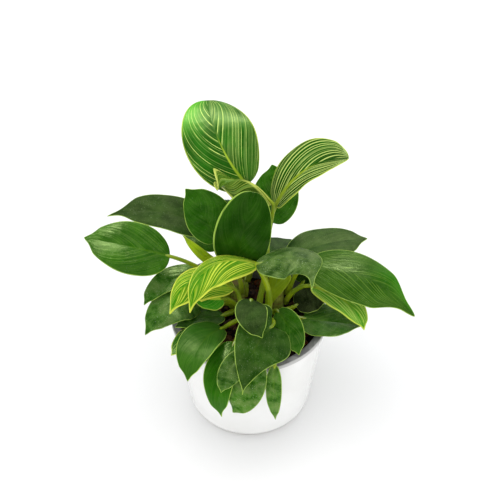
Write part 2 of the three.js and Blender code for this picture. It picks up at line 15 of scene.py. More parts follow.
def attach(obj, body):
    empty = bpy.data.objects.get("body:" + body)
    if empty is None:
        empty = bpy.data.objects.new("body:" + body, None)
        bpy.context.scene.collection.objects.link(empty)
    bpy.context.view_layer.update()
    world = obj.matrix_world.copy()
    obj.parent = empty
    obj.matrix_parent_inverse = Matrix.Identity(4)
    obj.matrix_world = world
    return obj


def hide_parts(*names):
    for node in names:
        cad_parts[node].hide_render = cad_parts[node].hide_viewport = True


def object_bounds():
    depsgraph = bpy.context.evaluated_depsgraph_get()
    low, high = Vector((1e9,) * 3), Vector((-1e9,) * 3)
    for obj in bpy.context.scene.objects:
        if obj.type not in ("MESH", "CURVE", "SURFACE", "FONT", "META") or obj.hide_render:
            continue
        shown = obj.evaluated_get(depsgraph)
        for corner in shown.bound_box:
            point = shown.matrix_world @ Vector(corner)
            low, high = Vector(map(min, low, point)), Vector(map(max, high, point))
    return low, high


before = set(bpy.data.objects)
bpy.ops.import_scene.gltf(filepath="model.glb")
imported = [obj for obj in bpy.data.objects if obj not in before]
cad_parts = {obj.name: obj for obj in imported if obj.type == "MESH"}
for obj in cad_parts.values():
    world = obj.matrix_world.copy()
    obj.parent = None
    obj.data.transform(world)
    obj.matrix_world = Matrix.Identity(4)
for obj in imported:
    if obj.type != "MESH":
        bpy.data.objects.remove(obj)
CAD_BOX = [[float(value) for value in corner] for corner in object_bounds()]
scene = bpy.context.scene
MM = 0.001

# -------- sizes, as in the part's source

STEM_RADIUS, STEM_HEIGHT, STEM_BURIED = 5.6, 30.0, 24.0
CLEARANCE = 0.3
# Each stem's axis in X and Y, and the height of its top.
STEMS = {
    "right": (21.0, 12.0, 112.0),
    "back": (-9.0, 17.0, 108.0),
    "front": (4.0, -12.0, 104.0),
}

OUTLINE_BASE_POWER, OUTLINE_TIP_POWER = 0.5, 0.75
TAIL_PINCH, TAIL_START, TAIL_FULL = 0.4, 0.84, 0.75
LOBE_REACH, LOBE_END, LOBE_ROUNDING, LOBE_FULL_WIDTH = 0.07, 0.4, 1.5, 0.25
BASE_HALF_WIDTH = 1.4
TWIST_POWER = 6

PETIOLE_FOOT_RADIUS, PETIOLE_NECK_RADIUS = 2.2, 1.4
PETIOLE_LEAN, PETIOLE_RISE, PETIOLE_REACH = 0.3, 0.4, 0.3

# -------- sizes finer than the solids'

BLADE_THICKNESS, TIP_HALF_WIDTH, MARGIN_POWER = 0.6, 0.3, 8
PETIOLE_TAPER, SHEATH_NECK_RADIUS = 0.8, 1.0
RIB_TIP_RADIUS, RIB_END, RIB_TAPER = 0.22, 0.86, 0.55
RIB_SINK, RIB_SINK_START = 0.22, 0.07

# Grids: shares across half a blade, rows along it and how evenly they lie, sides and steps of the stalk.
HALF_COLUMNS = (0.03, 0.07, 0.13, 0.22, 0.33, 0.45, 0.57, 0.68, 0.78, 0.87, 0.94, 0.98, 1.0)
BLADE_ROWS, ROW_EVENNESS = 84, 0.35
PETIOLE_SIDES, PETIOLE_STEPS, RIB_STEPS = 14, 34, 26

# Relief: a groove along the midrib, low waves between the side veins, a ruffled margin.
GROOVE_DEPTH, GROOVE_WIDTH = 0.2, 1.1
WAVE_HEIGHT, WAVE_LENGTH = 0.04, 5.5
RUFFLE, RUFFLE_TURNS = 0.5, (1.6, 2.6)
VEIN_SLANT, VEIN_SWEEP, VEIN_BEND = 0.52, 0.42, 0.97

# A leaf's texture map: boxes as left, low, width and height, and the stalk's two round caps.
UPPER_BOX, UNDER_BOX = (0.015, 0.14, 0.47, 0.84), (0.515, 0.14, 0.47, 0.84)
STALK_BOX = (0.015, 0.01, 0.97, 0.1)
CAP_CENTRES, CAP_RADIUS = ((0.004, 0.06), (0.996, 0.06)), 0.003


def leaf(name, stem, foot, base, middle, tip, face, width, fold, bow, kind, **more):
    return dict(name=name, stem=stem, foot=foot, base=base, middle=middle, tip=tip, face=face,
                width=width, fold=fold, bow=bow, kind=kind, **more)


# The lime leaves at the front share one look.
LIME = dict(bands=(2.6, 2.6), light=0.85, pitch=0.75, rim=(2.6, 2.6), thick=2, glow=(0, -1, 0.55),
            stripes=1.3)

# Stem and the foot's azimuth and height on it; the blade's base, middle and tip; where its face looks;
# width, fold of the halves, bow of the margins and kind. Optional, as in the part: round and blunt
# (outline powers at base and tip), tail and pinch (the drip tip), skew of the halves, lobe, twist,
# petiole (its foot's radius), and rise and reach of its ends.
# Optional here alone: ruffle, slant of the side veins (left, right), dull, dust and glow, a
# painted glow of light shining through the blade (half, or 0 for both; start along the blade; amount). As
# factors: light (the leaf's brightness: its own tone, with painted shade and painted light for where it
# lies), stripes, pitch and thick (closeness and width of the lines), midrib and rib (its paleness and width),
# bands, partly a painted sheen, and rim (the margin's width; left, right).
LEAVES = [
    leaf("leaf_01", "back", (20, 104), (-2, 47, 176), (-20.5, 51, 207.5), (-31, 84, 226), (-80, 26),
         54, 8, 0.12, "striped", blunt=0.42, pinch=0, skew=0.03, slant=(0.42, 0.8), bands=(0.15, 1.5),
         glow=(-1, 0.62, 0.9), pitch=0.55, thick=0.6, light=1.15, dull=0.6, ruffle=0.2),
    leaf("leaf_02", "right", (165, 108), (20, 36, 165), (41, 36, 197), (70, 28, 212), (210, 55),
         38, 12, 0.1, "striped", blunt=0.62, skew=-0.25, slant=(1.05, 1.05), bands=(0, 0), pitch=0.38,
         pinch=0.1, stripes=2.2, thick=1.7, light=0.75, midrib=1.8, rib=1.6),
    leaf("leaf_03", "right", (200, 110), (17, 23, 176), (-3, 27, 194), (-23, 17, 192), (-90, 75),
         38, -55, 0, "young", twist=-180, blunt=0.4, reach=5, light=0.95, rim=(2.2, 2.2), rib=2.4,
         midrib=1.6),
    leaf("leaf_04", "right", (125, 100), (17, 47, 140.5), (20, 57, 163), (17, 66, 181), (-95, 30),
         36, 8, 0.1, "old", rise=26, light=2.1),
    leaf("leaf_05", "back", (-70, 102), (-9, 13, 124), (-5, 8, 159), (4, 22, 187), (-95, 25),
         42, 8, 0.15, "old", blunt=0.42, pinch=0, round=0.35, stripes=0.6, rim=(2.6, 1), light=0.85,
         dust=0.15),
    leaf("leaf_06", "back", (144, 104), (-24, 17, 146), (-33, 26, 163), (-47, 36, 180), (-105, 40),
         36, 8, 0.1, "old", skew=0.12, light=1.3, dust=0.3),
    leaf("leaf_07", "back", (110, 101), (-32, 36, 142), (-70, 42, 154.5), (-108, 42, 150), (-100, 74),
         33, 8, 0.1, "old", skew=0.06, pinch=0.65, tail=0.7, round=0.38, light=0.6, dull=3),
    leaf("leaf_08", "back", (210, 94), (-59, 8, 139), (-89, 4, 152), (-120, 8, 156.5), (-100, 62),
         42, 8, 0.15, "middle", skew=-0.02, lobe=0.02, dust=0.4),
    leaf("leaf_09", "front", (68, 100), (7, 2, 137), (-27, -20, 153), (-42, -40, 127), (-100, 68),
         33, -42, 0, "striped", petiole=2.7, **LIME),
    leaf("leaf_10", "front", (0, 100), (5, -14, 150), (36, -20, 160), (43, -40, 149), (-60, 90),
         36, -6, 0.12, "middle", pinch=0.75, tail=0.62, skew=0.1, reach=1.5, rise=25, petiole=2.8,
         light=0.7, dull=1.5, dust=2.4),
    leaf("leaf_11", "front", (180, 100), (-11, -8, 121), (-39.5, -19.5, 140), (-57, -34, 120), (-110, 62),
         34, -34, 0, "striped", reach=6, **LIME),
    leaf("leaf_12", "right", (8, 97), (46, 8, 130), (86, -6, 130), (120, -28, 112), (-75, 60),
         39, -6, 0.1, "middle", skew=0.08, blunt=0.6, pinch=0.6, tail=0.66, round=0.4, midrib=0.3,
         stripes=2.4, light=0.75, dust=0.5, thick=1.6, bands=(0.8, 0.8), glow=(-1, 0.4, 0.4)),
    leaf("leaf_13", "right", (35, 94), (32, 32, 119), (59, 42, 123), (92, 46, 125), (-90, 80),
         38, 6, 0.1, "old", skew=0.1, light=0.85, dull=1.3),
    leaf("leaf_14", "right", (62, 88), (18, 31, 112), (25, 47, 113), (34, 66, 108), (-90, 75),
         39, 6, 0.1, "old", light=0.85, dull=1.6),
    leaf("leaf_15", "right", (-22, 94), (47, 6, 111), (73, -12, 110), (84, -30, 100), (-60, 65),
         22, -8, 0.05, "striped", skew=-0.1, slant=(0.9, 0.9), bands=(2.2, 2), pitch=0.7, rim=(1.6, 1.6),
         thick=2, glow=(0, -1, 0.55), stripes=1.3),
    # leaf_16: its light is painted low, for the deep shade it lies in.
    leaf("leaf_16", "right", (-45, 84), (36, 4, 93), (48, 7, 98), (60, 8, 97), (-90, 80),
         26, 6, 0.1, "old", light=0.05, dull=3.5),
    leaf("leaf_17", "right", (-98, 84), (41, -6, 89), (62, -14, 93), (83, -22, 96.5), (-80, 92),
         39, 6, 0.05, "middle", dust=1),
    leaf("leaf_18", "front", (20, 88), (21, -10.5, 101), (30, -31.5, 101), (36, -46.5, 91), (-95, 40),
         21, 6, 0.1, "middle", light=0.75, glow=(0, -1, 0.1)),
    leaf("leaf_19", "front", (-40, 94), (16, -38, 112), (2, -62, 108), (-5, -80, 86), (-85, 35),
         44, 8, 0.15, "middle", lobe=0.25, pinch=0.3, blunt=1.25, round=0.28, skew=-0.1, light=0.6,
         stripes=0.2, bands=(0.5, 0.5), dull=0.6, dust=0.8),
    leaf("leaf_20", "front", (-115, 92), (-4, -50, 99), (-15, -66, 95), (-20, -77, 85), (-100, 30),
         18, 6, 0.1, "middle", skew=-0.2, bands=(0.5, 0.5), dull=0.6, stripes=0.1, dust=2.4),
    leaf("leaf_21", "front", (-80, 88), (5, -54, 95), (-2, -72, 79), (-12, -78, 65), (-98, 30),
         26, 6, 0.1, "middle", skew=0.1, light=1.5, bands=(0.5, 0.5), dull=0.6, stripes=0.2, dust=3.2),
    leaf("leaf_22", "front", (-52, 84), (18, -58, 92.5), (17.5, -68, 73), (19, -72, 50), (-100, 25),
         12, 6, 0.1, "middle", light=1.45, bands=(0.5, 0.5), dull=0.6, dust=3.0),
    leaf("leaf_23", "front", (-140, 85), (-11, -41, 98), (-21, -67, 87), (-20, -77, 59), (-110, 30),
         24, 6, 0.1, "middle", skew=0.08, pinch=0.55, light=0.9, stripes=0.4, dust=0.1,
         glow=(0, -1, 0.12)),
    leaf("leaf_24", "front", (205, 94), (-20, -29, 101), (-35, -56, 110), (-43, -76, 95.5), (-115, 45),
         29, 6, 0.1, "middle", skew=0.2, light=0.75, dust=0.1, glow=(0, -1, 0.12), dull=1.3),
    leaf("leaf_25", "back", (270, 83), (-38, -16, 88), (-46, -31.5, 91.5), (-57, -46, 90), (-120, 55),
         20, 6, 0.1, "striped", rise=4),
    leaf("leaf_26", "back", (190, 85), (-38, 12, 119.5), (-62, 3, 116.7), (-78, -14, 110), (-110, 60),
         19, 6, 0.1, "old", reach=6, rise=8, skew=0.2, light=1.7, dust=2.2),
    leaf("leaf_27", "back", (236, 86), (-36, -1.5, 99.5), (-58, -10.5, 107.7), (-77, -29, 94), (-110, 65),
         32, 6, 0.1, "old", skew=-0.08, light=1.6, dull=0.8, dust=2.4),
    # leaf_28: its light is painted high, against the shade it lies in.
    leaf("leaf_28", "front", (150, 86), (-20, -8, 111), (-31, -12, 114), (-42, -16, 118), (-90, 75),
         20, 6, 0.1, "striped", light=2.3, stripes=0.1, bands=(0, 0), dust=0.9, glow=(0, -1, 0.2)),
    leaf("leaf_29", "back", (304, 84), (-20, -6, 92), (-37, -14, 96), (-55, -26, 99), (-100, 90),
         22, 6, 0.1, "old", rise=4),
    leaf("leaf_30", "front", (-90, 98), (1, -30, 130), (2, -46, 130), (9, -58, 120), (-85, 55),
         23, 6, 0.1, "old", light=0.5, reach=3, dull=3, dust=0.5),
    leaf("leaf_31", "back", (70, 100), (-4, 52, 128), (-6, 82, 132), (-4, 108, 112), (90, 75),
         42, 6, 0.1, "old"),
    leaf("leaf_32", "right", (100, 84), (30, 40, 104), (38, 64, 102), (46, 90, 86), (70, 75),
         40, 6, 0.1, "old"),
    leaf("leaf_33", "back", (84, 90), (-24, 44, 116), (-36, 66, 120), (-48, 88, 100), (110, 75),
         40, 6, 0.1, "middle"),
    leaf("leaf_34", "back", (150, 84), (-28, 32, 94), (-40, 46, 94), (-50, 60, 82), (130, 75),
         30, 6, 0.1, "old"),
    leaf("leaf_35", "right", (30, 84), (42, 28, 95), (56, 47, 97), (72, 66, 86), (50, 75),
         36, 6, 0.1, "old", light=0.6),
    leaf("leaf_36", "back", (45, 86), (-6, 50, 98), (-8, 74, 100), (-12, 100, 88), (95, 75),
         38, 6, 0.1, "old"),
    leaf("sheath_back", "back", (185, 102), (-23, 18, 121), (-35, 12.5, 137), (-49, 14, 154), (-100, 40),
         9, 25, 0, "sheath", petiole=1.8, rise=5, light=1.3),
    leaf("sheath_right", "right", (-128, 82), (12, 0, 90), (18, -1, 115), (28, 0, 136), (-118, 20),
         16, -18, 0, "sheath", light=0.8, round=1.1, blunt=0.45),
]


# -------- curves and grids

def smooth(value, low, high):
    share = np.clip((value - low) / (high - low), 0, 1)
    return share * share * (3 - 2 * share)


def unit(vectors):
    return vectors / np.linalg.norm(vectors, axis=-1, keepdims=True)


def direction(azimuth, elevation=0.0):
    """Direction for an azimuth from +X and an elevation, both in degrees."""
    a, e = math.radians(azimuth), math.radians(elevation)
    return np.array([math.cos(e) * math.cos(a), math.cos(e) * math.sin(a), math.sin(e)])


class Midrib:
    """Quadratic curve that passes through the middle point half way along."""

    def __init__(self, row):
        self.base, middle, self.tip = (np.array(row[end], float) for end in ("base", "middle", "tip"))
        self.bend = 2 * middle - 0.5 * self.base - 0.5 * self.tip

    def point(self, u):
        u = np.asarray(u, float)[..., None]
        return (1 - u) ** 2 * self.base + 2 * u * (1 - u) * self.bend + u ** 2 * self.tip

    def along(self, u):
        u = np.asarray(u, float)[..., None]
        return unit((1 - u) * (self.bend - self.base) + u * (self.tip - self.bend))

    def length(self):
        points = self.point(np.linspace(0, 1, 60))
        return float(np.linalg.norm(np.diff(points, axis=0), axis=1).sum())


def outline(row, u):
    """Half width of a blade of unit width at the share u of its length."""
    base_power = row.get("round", OUTLINE_BASE_POWER)
    tip_power = row.get("blunt", OUTLINE_TIP_POWER)
    widest = base_power / (base_power + tip_power)
    peak = widest ** base_power * (1 - widest) ** tip_power
    tail = row.get("tail", TAIL_START)
    pinch = 1 - row.get("pinch", TAIL_PINCH) * smooth(u, tail, tail + (1 - tail) * TAIL_FULL)
    return 0.5 * pinch * u ** base_power * (1 - u) ** tip_power / peak


def even_half_width(row, u):
    """Half width without skew, and never less than at the blade's ends."""
    ends = BASE_HALF_WIDTH + (TIP_HALF_WIDTH - BASE_HALF_WIDTH) * u
    return np.maximum(row["width"] * outline(row, u), ends)


def half_width(row, u, v):
    """Width of the half that v is on; skew makes the positive side the wider one."""
    return even_half_width(row, u) * (1 + row.get("skew", 0) * np.sign(v))


def blade_axes(row, midrib, u):
    along = midrib.along(u)
    side = unit(np.cross(along, direction(*row["face"])))
    turn = np.radians(row.get("twist", 0)) * np.asarray(u, float)[..., None] ** TWIST_POWER
    side = side * np.cos(turn) + np.cross(along, side) * np.sin(turn)
    return along, side, np.cross(side, along)


def blade_surface(row, midrib, u, v):
    """Middle surface of the blade: u from base to tip, v from one margin (-1) to the other (1)."""
    along, side, normal = blade_axes(row, midrib, u)
    half = half_width(row, u, v)
    reach = np.abs(v)
    fold = math.radians(row["fold"])
    full = np.minimum(1, even_half_width(row, u) / (row["width"] * LOBE_FULL_WIDTH))
    lobe = row.get("lobe", LOBE_REACH) * row["width"] * np.maximum(0, 1 - u / LOBE_END) ** 2 * full
    lift = half * (reach * math.sin(fold) - row["bow"] * reach ** 2)
    wave = np.sin(u * row["ruffle_turns"] * math.tau + row["ruffle_start"] + 2.0 * (v > 0))
    ruffle = row.get("ruffle", RUFFLE) * wave * reach ** 3
    lift = lift + ruffle * smooth(u, 0.04, 0.3) * smooth(1 - u, 0.02, 0.3)
    return (
        midrib.point(u)
        + side * (half * v * math.cos(fold))[..., None]
        + normal * lift[..., None]
        - along * (lobe * reach ** LOBE_ROUNDING)[..., None]
    )


def grid_normals(points):
    return unit(np.cross(np.gradient(points, axis=1), np.gradient(points, axis=0)))


def grid_faces(rows, columns, first=0, closed=False, flip=False):
    """Quads of a grid of points counted row by row from first."""
    wide = columns if closed else columns - 1
    r, c = np.meshgrid(np.arange(rows - 1), np.arange(wide), indexing="ij")
    a = first + r * columns + c
    b = first + r * columns + (c + 1) % columns
    quads = np.stack([a, b, b + columns, a + columns], axis=-1).reshape(-1, 4)
    return (quads[:, ::-1] if flip else quads).tolist()


def add_object(name, data):
    made = bpy.data.objects.new(name, data)
    scene.collection.objects.link(made)
    return made


def add_piece(name, points, faces, materials, slots=None, fields=None, maps=None):
    """Mesh object in the frame's metres; fields are values per point, maps are UV values per corner."""
    mesh = bpy.data.meshes.new(name)
    mesh.from_pydata((np.asarray(points, float) * MM).tolist(), [], faces)
    for material in materials:
        mesh.materials.append(material)
    if slots is not None:
        mesh.polygons.foreach_set("material_index", np.asarray(slots, np.int32))
    mesh.polygons.foreach_set("use_smooth", np.ones(len(mesh.polygons), bool))
    for field, values in (fields or {}).items():
        attribute = mesh.attributes.new(field, "FLOAT_VECTOR", "POINT")
        attribute.data.foreach_set("vector", np.asarray(values, np.float32).ravel())
    for layer, values in (maps or {}).items():
        mesh.uv_layers.new(name=layer).data.foreach_set("uv", np.asarray(values, np.float32).ravel())
    mesh.update()
    return add_object(name, mesh)


def show(piece, node):
    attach(piece, "root")
    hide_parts(node)


# -------- materials

# Colours are sRGB in 0 to 255; Graph.mix makes them linear.
def linear(*colour):
    shares = [value / 255 for value in colour]
    return tuple(s / 12.92 if s <= 0.04045 else ((s + 0.055) / 1.055) ** 2.4 for s in shares) + (1.0,)


class Graph:
    """Short calls for the nodes of one material."""

    def __init__(self, name, **values):
        self.material = bpy.data.materials.new(name)
        self.material.use_nodes = True
        self.tree = self.material.node_tree
        self.shader = self.tree.nodes["Principled BSDF"]
        for socket, value in values.items():
            self.shader.inputs[socket.replace("_", " ").title().replace("Ior", "IOR")].default_value = value

    def put(self, socket, value):
        if isinstance(value, bpy.types.NodeSocket):
            self.tree.links.new(value, socket)
        elif value is not None:
            socket.default_value = value

    def node(self, kind, inputs=(), **settings):
        node = self.tree.nodes.new("ShaderNode" + kind)
        for setting, value in settings.items():
            setattr(node, setting, value)
        for socket, value in dict(inputs).items():
            self.put(node.inputs[socket], value)
        return node

    def field(self, name):
        return self.node("Attribute", attribute_name=name).outputs["Vector"]

    def parts(self, vector):
        return self.node("SeparateXYZ", {0: vector}).outputs[:]

    def vector(self, x=0.0, y=0.0, z=0.0):
        return self.node("CombineXYZ", {0: x, 1: y, 2: z}).outputs[0]

    def math(self, operation, a, b=None):
        return self.node("Math", {0: a, 1: b}, operation=operation).outputs[0]

    def times(self, first, *values):
        for value in values:
            first = self.math("MULTIPLY", first, value)
        return first

    def plus(self, first, *values):
        for value in values:
            first = self.math("ADD", first, value)
        return first

    def rest(self, share):
        return self.math("SUBTRACT", 1.0, share)

    def place(self):
        """Object coordinates, in metres."""
        return self.node("TexCoord").outputs["Object"]

    def step(self, value, low, high, start=0.0, end=1.0):
        inputs = {"Value": value, "From Min": low, "From Max": high, "To Min": start, "To Max": end}
        return self.node("MapRange", inputs, interpolation_type="SMOOTHSTEP").outputs[0]

    def noise(self, where, scale, detail=2.0, roughness=0.5, dimensions="3D"):
        inputs = {"Scale": scale, "Detail": detail, "Roughness": roughness}
        inputs["W" if dimensions == "1D" else "Vector"] = where
        return self.node("TexNoise", inputs, noise_dimensions=dimensions).outputs[0]

    def mix(self, share, a, b, blend="MIX"):
        node = self.node("Mix", data_type="RGBA", blend_type=blend)
        self.put(node.inputs[0], share)
        for socket, colour in ((node.inputs[6], a), (node.inputs[7], b)):
            self.put(socket, linear(*colour) if isinstance(colour, tuple) else colour)
        return node.outputs[2]

    def bump(self, height, strength, distance, below=None):
        inputs = {"Height": height, "Strength": strength, "Distance": distance, "Normal": below}
        return self.node("Bump", inputs).outputs[0]

    def finish(self, colour, roughness, normal):
        self.put(self.shader.inputs["Base Color"], colour)
        self.put(self.shader.inputs["Roughness"], roughness)
        self.put(self.shader.inputs["Normal"], normal)
        return self.material


PALE_MARGIN = (168, 202, 86)
UNDERSIDE, UNDERSIDE_LIGHT = (96, 128, 62), (120, 150, 78)
# Painted backlight: the vivid green of light shining through a blade.
PAINTED_BACKLIGHT_GREEN = (60, 168, 4)
# Grey-green of the broad bands, partly a painted sheen.
PALE_BAND_AND_PAINTED_SHEEN = (124, 158, 76)
LIME_BAND = (164, 204, 10)
LIME_LINE = (232, 248, 66)
CREAM = (238, 244, 84)
FILM, FILM_GAP, SPECK = (124, 146, 84), (12, 44, 0), (176, 196, 160)

# Pinstripes: spacing in mm, width as a share of it, and the luck at which a line starts and is full.
STRONG_LINES = (4.9, 0.085, 0.05, 0.4)
FAINT_LINES = (2.3, 0.12, 0.3, 1.0)
FAINT_SHARE, FAINT_SHIFT = 0.28, 19.0
# Keeps the two halves' lines apart; length the dust is drawn for; most dust that shows as specks.
HALVES_SHIFT, PATCH_LENGTH, MOST_SPECKS = 61.0, 58.0, 1.5


def pinstripes(g, line, reach, thick, spacing, width, first, last):
    """Mask of thin lines along the veins, each with its own strength and its own start and end."""
    wander = g.times(g.noise(g.times(line, 0.07), 1.0, 1.0, 0.5, "1D"), 1.4)
    place = g.plus(g.math("DIVIDE", line, spacing), wander)
    number = g.math("FLOOR", place)
    luck = g.node("TexWhiteNoise", {"W": number}, noise_dimensions="1D").outputs["Value"]
    off = g.math("ABSOLUTE", g.math("SUBTRACT", g.math("FRACT", place), 0.5))
    off = g.math("DIVIDE", off, thick)
    core = g.rest(g.step(off, width * 0.45, width * 1.35))
    fade = g.noise(g.vector(g.times(reach, 0.13), g.times(number, 7.3), 0.0), 1.0, 2.0, 0.6)
    return g.times(core, g.step(luck, first, last), g.step(fade, 0.34, 0.5, 0.2, 1.0))


def leaf_material(name, ground, light, stripe, rib, margin, margin_width, cover):
    """Waxy leaf of a row of LEAF_LOOKS.

    Fields: blade (across, vein and edge in mm), place (share along, under, seed), tint_and_painted_light
    (brightness: own tone with painted shade and painted light; stripes; glow, a painted glow of
    light through the blade), pale (shares of broad bands, partly a painted sheen, and of the midrib, its
    widening), wear (dullness, dust, width of the lines).
    """
    g = Graph(name, ior=1.45, specular_ior_level=0.3, specular_tint=(0.75, 1.0, 0.35, 1.0))
    across, vein, edge = g.parts(g.field("blade"))
    share, under, seed = g.parts(g.field("place"))
    tone_and_painted_light, stripes, glow = g.parts(g.field("tint_and_painted_light"))
    bands, midrib, rib_wide = g.parts(g.field("pale"))
    dull, dust, thick = g.parts(g.field("wear"))
    reach = g.math("ABSOLUTE", across)
    side = g.times(g.math("SIGN", across), HALVES_SHIFT)
    line = g.plus(vein, side, seed)
    spot = g.vector(across, g.times(share, PATCH_LENGTH), seed)

    # Slow change of green over the blade, and fine darker lines between its veins.
    cloud = g.noise(spot, 0.06, 3.0)
    fine = g.noise(line, 0.9, 3.0, 0.6, "1D")
    green = g.mix(g.step(cloud, 0.35, 0.68), ground, light)
    green = g.mix(g.step(fine, 0.42, 0.66, 0.22, 0.0), green, ground)
    green = g.mix(g.times(g.step(fine, 0.52, 0.7), cover, 0.18), green, stripe)
    # Painted backlight: vivid green where light shining through the blade would show.
    green = g.mix(glow, green, PAINTED_BACKLIGHT_GREEN)

    # Broad pale bands, the grey-green ones partly a painted sheen, then pinstripes: thin, broken, each with
    # its own strength.
    stretch = g.noise(g.vector(g.times(reach, 0.5), line, 2.0), 0.12, 2.0, 0.6)
    wide = g.times(g.step(g.noise(line, 0.21, 2.0, 0.55, "1D"), 0.4, 0.6), g.step(stretch, 0.32, 0.6))
    yellow = g.step(bands, 0.5, 0.9)
    green = g.mix(g.times(wide, bands), green, g.mix(yellow, PALE_BAND_AND_PAINTED_SHEEN, LIME_BAND))
    strong = pinstripes(g, line, reach, thick, *STRONG_LINES)
    faint = pinstripes(g, g.plus(line, FAINT_SHIFT), reach, thick, *FAINT_LINES)
    drawn = g.math("MAXIMUM", strong, g.times(faint, FAINT_SHARE))
    drawn = g.times(drawn, stripes, g.step(edge, 0.2, 2.5, 0.3, 1.0), g.step(reach, 0.2, 1.6))
    green = g.mix(drawn, green, g.mix(yellow, stripe, LIME_LINE))

    # Midrib, wide at the base and gone before the tip.
    rib_width = g.times(g.step(share, 0.0, 0.7, 1.3, 0.35), rib_wide)
    on_rib = g.rest(g.step(g.math("DIVIDE", reach, rib_width), 0.5, 1.2))
    on_rib = g.times(on_rib, g.step(share, 0.72, 0.3, 0.0, 1.0), midrib)
    green = g.mix(on_rib, green, rib)
    # Brightness of the leaf: its own tone, with painted shade and painted light for where it lies.
    green = g.mix(1.0, green, g.vector(tone_and_painted_light, tone_and_painted_light, tone_and_painted_light), "MULTIPLY")

    # Thin pale margin, then the paler, duller underside.
    on_margin = g.rest(g.step(edge, margin_width * 0.55, margin_width * 1.2))
    on_margin = g.times(on_margin, g.step(g.noise(vein, 0.12, 2.0, 0.5, "1D"), 0.3, 0.6, 0.45, 1.0))
    margin = g.mix(yellow, margin, CREAM)
    colour = g.mix(on_margin, green, margin)
    pale = g.mix(g.step(fine, 0.4, 0.65), UNDERSIDE, UNDERSIDE_LIGHT)
    pale = g.mix(g.times(drawn, 0.4), pale, stripe)
    colour = g.mix(g.times(g.step(under, 0.3, 0.7), 0.75), colour, g.mix(on_margin, pale, margin))

    # A thin film of dust with darker gaps and pale specks.
    specks = g.noise(spot, 1.5, 2.0, 0.7)
    film = g.noise(spot, 0.13, 4.0, 0.6)
    colour = g.mix(g.times(g.step(film, 0.3, 0.72), dust, 0.2), colour, FILM)
    capped = g.math("MINIMUM", dust, MOST_SPECKS)
    colour = g.mix(g.times(g.step(film, 0.5, 0.3), capped, 0.28), colour, FILM_GAP)
    colour = g.mix(g.times(g.step(specks, 0.64, 0.72), capped, 0.5), colour, SPECK)

    # Gloss and relief: pores, dull patches and the low swelling between the veins.
    pores = g.noise(g.vector(across, vein, 0.0), 2.6, 2.0)
    rough = g.plus(g.step(cloud, 0.3, 0.7, 0.18, 0.25), g.times(pores, 0.06))
    rough = g.plus(rough, g.times(g.math("MAXIMUM", g.step(under, 0.3, 0.7), dull), 0.16))
    swell = g.noise(g.vector(across, vein, seed), 0.17, 2.0)
    ridges = g.plus(g.times(fine, 0.5), g.times(pores, 0.16), g.times(swell, 1.9))
    normal = g.bump(ridges, 0.4, 0.00035)
    return g.finish(colour, rough, normal)


def stalk_material(name, ground, light, streak):
    """Juicy petiole with fine lengthwise streaks. Field stalk: share round, length in mm, share along."""
    g = Graph(name, ior=1.45)
    around, length, share = g.parts(g.field("stalk"))
    turn = g.times(around, math.tau)
    ring = g.vector(g.math("COSINE", turn), g.math("SINE", turn), g.times(length, 0.012))
    streaks = g.noise(ring, 5.5, 3.0, 0.6)
    cloud = g.noise(g.vector(length, around, 4.0), 0.09, 2.0)
    flecks = g.noise(g.vector(g.math("COSINE", turn), g.math("SINE", turn), g.times(length, 0.35)), 3.2, 1.0)
    colour = g.mix(g.step(cloud, 0.35, 0.65), ground, light)
    colour = g.mix(g.times(g.step(streaks, 0.45, 0.7), 0.6), colour, streak)
    colour = g.mix(g.times(g.step(flecks, 0.68, 0.76), 0.5), colour, (205, 214, 130))
    colour = g.mix(g.step(share, 0.0, 0.12, 0.45, 0.0), colour, (96, 104, 30))
    rough = g.step(streaks, 0.3, 0.7, 0.34, 0.46)
    return g.finish(colour, rough, g.bump(streaks, 0.3, 0.0003))


def slot_of(kind):
    return "sheath" if kind == "sheath" else "leaf_" + kind


# Per kind: the two greens, lines, midrib and margin; the margin's width in mm; the finest veins' strength.
LEAF_LOOKS = {
    "old": ((15, 62, 0), (34, 86, 3), (92, 138, 40), (74, 118, 16), PALE_MARGIN, 0.55, 0.25),
    "middle": ((24, 78, 1), (46, 104, 5), (120, 162, 54), (88, 132, 18), PALE_MARGIN, 0.6, 0.35),
    "striped": ((8, 76, 0), (20, 105, 0), (212, 236, 124), (160, 186, 50), (200, 220, 84), 0.8, 0.6),
    "young": ((34, 78, 2), (66, 110, 8), (186, 206, 96), (206, 218, 104), (214, 226, 116), 1.6, 0.9),
    "sheath": ((112, 140, 2), (140, 166, 6), (172, 194, 40), (150, 170, 30), (150, 168, 50), 0.6, 0.8),
}
LEAF_SKINS = {kind: leaf_material(slot_of(kind) + "_skin", *look) for kind, look in LEAF_LOOKS.items()}
STALK_SKINS = {
    "leaf": stalk_material("petiole_skin", (118, 144, 6), (152, 174, 12), (84, 112, 4)),
    "sheath": stalk_material("sheath_stalk_skin", (108, 132, 6), (136, 156, 14), (84, 108, 6)),
}
# Per kind: strength of the pinstripes, of the broad bands, of the dust and of the pale midrib.
STRENGTHS = {
    "old": (0.1, 0.06, 0.7, 0.12),
    "middle": (0.3, 0.12, 0.6, 0.3),
    "striped": (1.0, 0.3, 0.25, 1.0),
    "young": (0.9, 0.6, 0.0, 0.6),
    "sheath": (0.6, 0.3, 0.0, 0.2),
}


# -------- leaves

